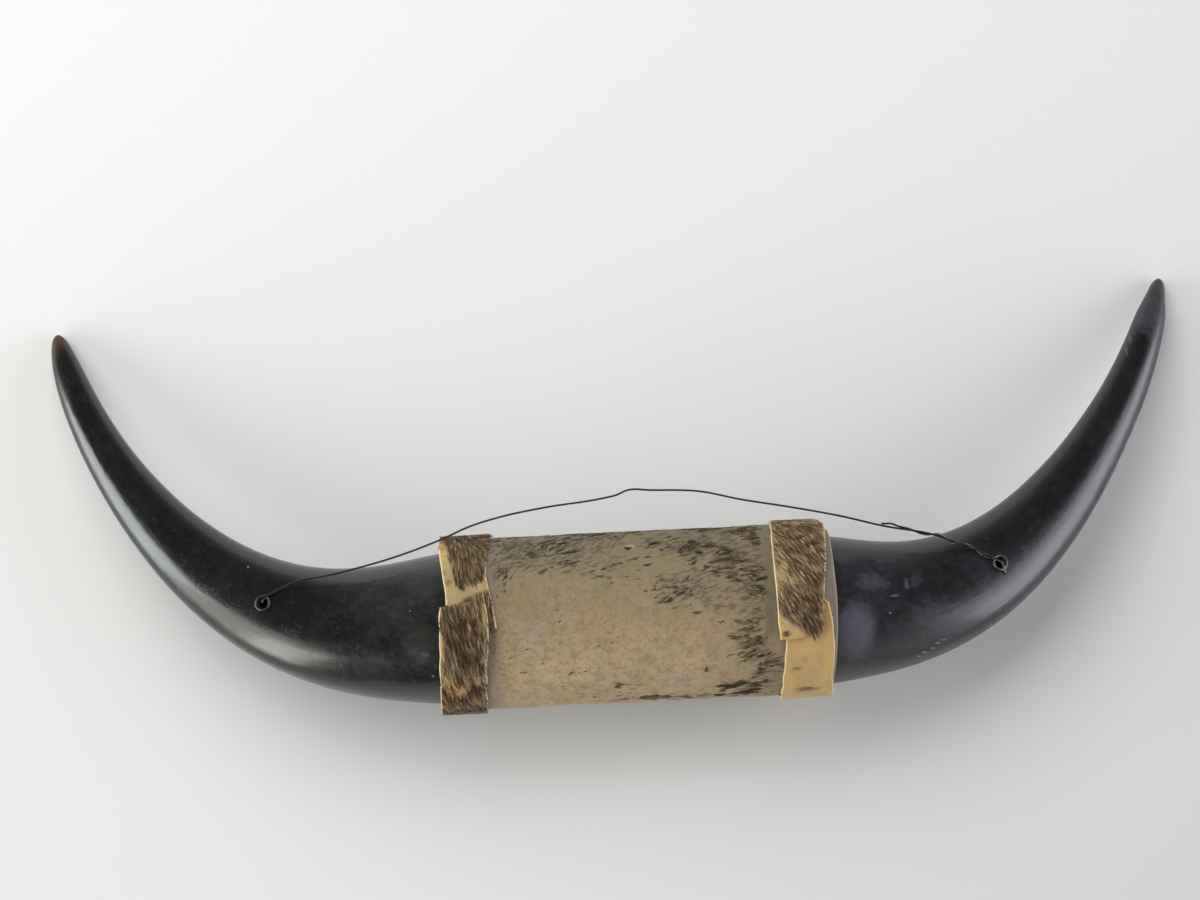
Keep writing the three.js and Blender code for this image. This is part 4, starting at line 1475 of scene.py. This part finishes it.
def wire_pieces(diameter, ridge_height):
    """The wire as a round tube on its path, and the second strand, which turns about part of it and
    starts with a small eye."""
    path = lined_up(wire_path(ridge_height), WIRE_STEPS)
    flat, faces = capped_tube(tube_along(path, diameter / 2, 12))
    wire = make_piece("steel_wire", flat, faces)
    part = path[int(TWIST_FROM * len(path)) : int(TWIST_TO * len(path))]
    share = np.linspace(0, 1, len(part))
    slopes = unit(np.gradient(part, axis=0))
    level = unit(np.cross(slopes, [0, 0, 1.0]))
    up = np.cross(level, slopes)
    turn = 2 * np.pi * TWIST_TURNS * ease(share, 0.12, 1.06) + np.pi
    eye = 1.1 * MM * np.exp(-(((share - 0.085) / 0.05) ** 2))
    apart = diameter * 0.98 + eye
    offset = level * np.cos(turn)[:, None] + up * np.sin(turn)[:, None]
    strand = part + offset * apart[:, None]
    flat, faces = capped_tube(tube_along(strand, diameter / 2, 10))
    twist = make_piece("steel_wire_twist", flat, faces)
    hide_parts("hanging_wire", "left_wire_ring", "right_wire_ring")
    tuple(hole_frame(HORNS["left_horn"], ridge_height)[0])
    return [wire, twist]


def steel_material(name, colour, roughness, metallic=1.0):
    """Dull steel: a dark skin of oxide in blotches over bare metal, with fine draw lines."""
    material, graph, shader = new_material(name)
    place = graph.place()
    rust = graph.group("Blotches", place, Scale=400.0, Detail=4.0, Low=0.5, High=0.7)
    look = {
        "Base Color": graph.tint(colour, rust, 0.6, np.array(colour) * (0.55, 0.48, 0.42)),
        "Metallic": metallic,
        "Roughness": graph.range(rust, 0.0, 1.0, roughness, roughness + 0.25),
        "Normal": graph.bump(graph.noise(place, 2500.0, 2.0), 0.15, 0.0001),
    }
    graph.fill(shader, look)
    return material


def tack_piece(name, along, angle, surface):
    """A tack: its profile of radius and height, from the point up the shank and over the domed
    head, turned about the line that stands on the hide."""
    turn = math.radians(angle)
    outward = np.array([0, math.sin(turn), math.cos(turn)])
    aside = np.array([1.0, 0, 0])
    forward = np.cross(outward, aside)
    seat = 0.3 * MM
    dome = np.linspace(0, np.pi / 2, 9)[:-1]
    shank = [0.12 * MM, TACK_SHANK_RADIUS, TACK_SHANK_RADIUS, TACK_HEAD_RADIUS * 0.96]
    radii = np.concatenate([shank, TACK_HEAD_RADIUS * np.cos(dome)])
    steps = [-TACK_LENGTH, 1.2 * MM - TACK_LENGTH, seat, seat]
    heights = np.concatenate([steps, seat + 0.12 * MM + 0.7 * MM * np.sin(dome)])
    turns = np.linspace(0, 2 * np.pi, 28, endpoint=False)[None, :, None]
    rings = radii[:, None, None] * (np.cos(turns) * aside + np.sin(turns) * forward)
    points = on_roll(along, angle, surface) + rings + heights[:, None, None] * outward
    piece = make_piece(name + "_steel", *capped_tube(points))
    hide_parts(name)
    return piece


def wood_material():
    """Turned wood: rings of growth about the roll's axis, drawn out into grain along it."""
    material, graph, shader = new_material("turned_wood")
    centred = graph.vector("SUBTRACT", graph.place(), (ROLL[0], ROLL[1] + 0.02, ROLL[2] - 0.03))
    long = graph.vector("MULTIPLY", centred, (0.08, 1, 1))
    inputs = {"Vector": long, "Scale": 60.0, "Distortion": 2.5, "Detail": 3.0}
    wave = graph.node("ShaderNodeTexWave", inputs, wave_type="RINGS", rings_direction="X")
    rings = wave.outputs["Fac"]
    look = {
        "Base Color": graph.mix(rings, (0.40, 0.25, 0.12), (0.24, 0.13, 0.055)),
        "Roughness": graph.range(rings, 0, 1, 0.55, 0.75),
        "Normal": graph.bump(rings, 0.2, 0.0004),
    }
    graph.fill(shader, look)
    return material


def give(piece, material):
    """Makes the material the piece's only one."""
    piece.data.materials.clear()
    piece.data.materials.append(material)


# ---------------------------------------------------------------------------------------------
# Operators


class HORNPAIR_OT_stage(bpy.types.Operator):
    """Add the camera, the floor, the soft lights and the pale surroundings."""

    bl_idname = "horn_pair.stage"
    bl_label = "Stage"

    def execute(self, context):
        settings = context.scene.horn_pair_stage
        context.scene.view_settings.view_transform = "Standard"
        self.add_camera(context)
        self.add_floor(settings.floor_colour)
        self.add_surroundings(context)
        for name, bearing, spread, share, colour in WINDOWS:
            radiance = settings.window_light * share
            self.add_light(name, bearing, spread, radiance, colour, WINDOW_DISTANCE)
        glow = (settings.fill_light, (1.0, 1.0, 0.99))
        fill = self.add_light("fill_light", (212, 50), (70, 45), *glow, FILL_DISTANCE)
        fill.visible_glossy = False
        return {"FINISHED"}

    def add_camera(self, context):
        """The camera looks down and a little towards +Y, turned so that the roll's right end is high."""
        lift = math.radians(CAMERA_HEIGHT_ANGLE)
        roll = math.radians(CAMERA_ROLL)
        look = Vector((0, math.cos(lift), -math.sin(lift)))
        up = Vector((0, math.sin(lift), math.cos(lift)))
        right = Vector((1, 0, 0))
        image_right = right * math.cos(roll) - up * math.sin(roll)
        image_up = right * math.sin(roll) + up * math.cos(roll)
        data = bpy.data.cameras.new("camera")
        data.lens = CAMERA_LENS
        data.sensor_width = 36
        data.clip_start = 0.05
        camera = bpy.data.objects.new("camera", data)
        camera.matrix_world = Matrix.Translation(Vector(CAMERA_PLACE)) @ Matrix(
            (image_right, image_up, -look)
        ).transposed().to_4x4()
        context.scene.collection.objects.link(camera)
        context.scene.camera = camera

    def add_floor(self, colour):
        """A wide square of pale matt paper, with painted shade that makes it a little darker towards its
        near right corner.
        """
        mesh = bpy.data.meshes.new("floor")
        corners = [(x * FLOOR_HALF, y * FLOOR_HALF, 0) for x, y in ((-1, -1), (1, -1), (1, 1), (-1, 1))]
        mesh.from_pydata(corners, [], [(0, 1, 2, 3)])
        floor = bpy.data.objects.new("floor", mesh)
        bpy.context.scene.collection.objects.link(floor)
        material, graph, shader = new_material("pale_paper")
        parts = graph.parts(graph.place())
        slant = graph.less(graph.times(parts["X"], 0.8), parts["Y"])
        # Painted shade: the paper's colour falls towards the near right corner.
        painted_shade = graph.mix(graph.range(slant, 0.1, 0.9), colour, np.array(colour) * 0.79)
        graph.fill(shader, {"Base Color": painted_shade, "Roughness": 0.75, "Specular IOR Level": 0.2})
        give(floor, material)

    def add_surroundings(self, context):
        """A dim room: pale at the horizon, darker overhead, and darkest towards -Y."""
        world = bpy.data.worlds.new("soft_room")
        world.use_nodes = True
        world.node_tree.nodes.clear()
        graph = Graph(world.node_tree)
        parts = graph.parts(graph.node("ShaderNodeTexCoord").outputs["Generated"])
        stops = [(0.0, (0.42, 0.42, 0.41)), (0.8, (0.04, 0.04, 0.042)), (0.35, (0.09, 0.09, 0.09))]
        gap = graph.range(parts["Y"], -0.9, -0.55, 0.25, 1.0)
        inputs = {"Color": graph.ramp(parts["Z"], stops), "Strength": gap}
        glow = graph.node("ShaderNodeBackground", inputs)
        graph.node("ShaderNodeOutputWorld", {"Surface": glow.outputs[0]})
        context.scene.world = world

    def add_light(self, name, bearing, spread, radiance, colour, distance):
        """A soft rectangular light that faces the pair. Its bearing is the turn from -Y towards +X
        and the height above the floor, and its spread the angles it fills, all in degrees."""
        turn, lift = (math.radians(value) for value in bearing)
        level = math.cos(lift)
        place = distance * Vector((level * math.sin(turn), -level * math.cos(turn), math.sin(lift)))
        width, height = (2 * distance * math.tan(math.radians(value) / 2) for value in spread)
        data = bpy.data.lights.new(name, "AREA")
        data.shape = "RECTANGLE"
        data.size = width
        data.size_y = height
        data.energy = radiance * math.pi * width * height
        data.color = colour
        light = bpy.data.objects.new(name, data)
        light.location = place
        light.rotation_euler = (-place).to_track_quat("-Z", "Y").to_euler()
        bpy.context.scene.collection.objects.link(light)
        return light


class HORNPAIR_OT_wire(bpy.types.Operator):
    """Add the hanging wire with its twisted second strand."""

    bl_idname = "horn_pair.wire"
    bl_label = "Hanging wire"

    def execute(self, context):
        settings = context.scene.horn_pair_wire
        material = steel_material("wire_steel", settings.steel_colour, 0.38)
        for piece in wire_pieces(settings.diameter, context.scene.horn_pair_horns.ridge_height):
            give(piece, material)
        return {"FINISHED"}


class HORNPAIR_OT_horns(bpy.types.Operator):
    """Add the two polished horns."""

    bl_idname = "horn_pair.horns"
    bl_label = "Horns"

    def execute(self, context):
        settings = context.scene.horn_pair_horns
        colours = {
            "left_horn": (settings.left_colour, settings.left_dust),
            "right_horn": (settings.right_colour, settings.right_dust_and_sheen),
        }
        for name, horn in HORNS.items():
            piece = horn_piece(name + "_polished", horn, settings.ridge_height)
            give(piece, horn_material(name + "_black", horn, *colours[name]))
            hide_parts(name)
        return {"FINISHED"}


class HORNPAIR_OT_wrap(bpy.types.Operator):
    """Add the bald hide round the roll and what is left of its hair."""

    bl_idname = "horn_pair.wrap"
    bl_label = "Hide wrap"

    def execute(self, context):
        settings = context.scene.horn_pair_hide
        give(wrap_piece(), bald_hide_material(settings.wrap_colour))
        hair = hair_material("worn_hair", settings.worn_hair_dark, settings.worn_hair_pale)
        for half, name in enumerate(("hide_wrap_hair", "hide_wrap_more_hair")):
            give(wrap_tufts(name, half, 51), hair)
        return {"FINISHED"}


class HORNPAIR_OT_bands(bpy.types.Operator):
    """Add the two hide bands with their hair."""

    bl_idname = "horn_pair.bands"
    bl_label = "Hide bands"

    def execute(self, context):
        settings = context.scene.horn_pair_hide
        skin = haired_hide_material("haired_hide", (0.22, 0.14, 0.08), settings.rawhide_colour)
        hair = hair_material("band_hair", settings.hair_dark, settings.hair_pale)
        plans = {
            "left_band": (left_band_bare, left_hair_tone),
            "right_band": (right_band_bare, right_hair_tone),
        }
        for name, band in BANDS.items():
            bare, tone = plans[name]
            give(band_piece(name, band, bare), skin)
            length = settings.hair_length * band["hair_length_share"]
            give(band_hair(name + "_hair", band, settings.hair_count, length, bare, tone), hair)
        return {"FINISHED"}


class HORNPAIR_OT_tacks(bpy.types.Operator):
    """Add the two steel tacks."""

    bl_idname = "horn_pair.tacks"
    bl_label = "Tacks"

    def execute(self, context):
        steel = steel_material("tack_steel", (0.085, 0.060, 0.034), 0.6, 0.2)
        for name, place in TACKS.items():
            give(tack_piece(name, *place), steel)
        return {"FINISHED"}


class HORNPAIR_OT_core(bpy.types.Operator):
    """Finish the turned wooden core."""

    bl_idname = "horn_pair.core"
    bl_label = "Wooden core"

    def execute(self, context):
        give(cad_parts["wood_core"], wood_material())
        return {"FINISHED"}


class HORNPAIR_PT_panel(bpy.types.Panel):
    """Lists the pieces of the pair in the sidebar."""

    bl_idname = "HORNPAIR_PT_panel"
    bl_label = "Buffalo Horn Pair"
    bl_space_type = "VIEW_3D"
    bl_region_type = "UI"
    bl_category = "Horn Pair"

    def draw(self, context):
        for operator in OPERATORS:
            self.layout.operator(operator.bl_idname)
        for key, group in SETTINGS.items():
            box = self.layout.box()
            box.label(text=group.__doc__)
            for name in group.__annotations__:
                box.prop(getattr(context.scene, key), name)


OPERATORS = (
    HORNPAIR_OT_stage,
    HORNPAIR_OT_wire,
    HORNPAIR_OT_horns,
    HORNPAIR_OT_wrap,
    HORNPAIR_OT_bands,
    HORNPAIR_OT_tacks,
    HORNPAIR_OT_core,
)
CLASSES = (*SETTINGS.values(), *OPERATORS, HORNPAIR_PT_panel)


def register():
    for each in CLASSES:
        bpy.utils.register_class(each)
    for key, group in SETTINGS.items():
        setattr(bpy.types.Scene, key, PointerProperty(type=group))


def unregister():
    for key in SETTINGS:
        delattr(bpy.types.Scene, key)
    for each in reversed(CLASSES):
        bpy.utils.unregister_class(each)


def main():
    """Registers the classes and makes every piece in order."""
    register()
    make_groups()
    bpy.ops.horn_pair.stage()
    bpy.ops.horn_pair.wire()
    bpy.ops.horn_pair.horns()
    bpy.ops.horn_pair.wrap()
    bpy.ops.horn_pair.bands()
    bpy.ops.horn_pair.tacks()
    bpy.ops.horn_pair.core()


if __name__ == "__main__":
    main()
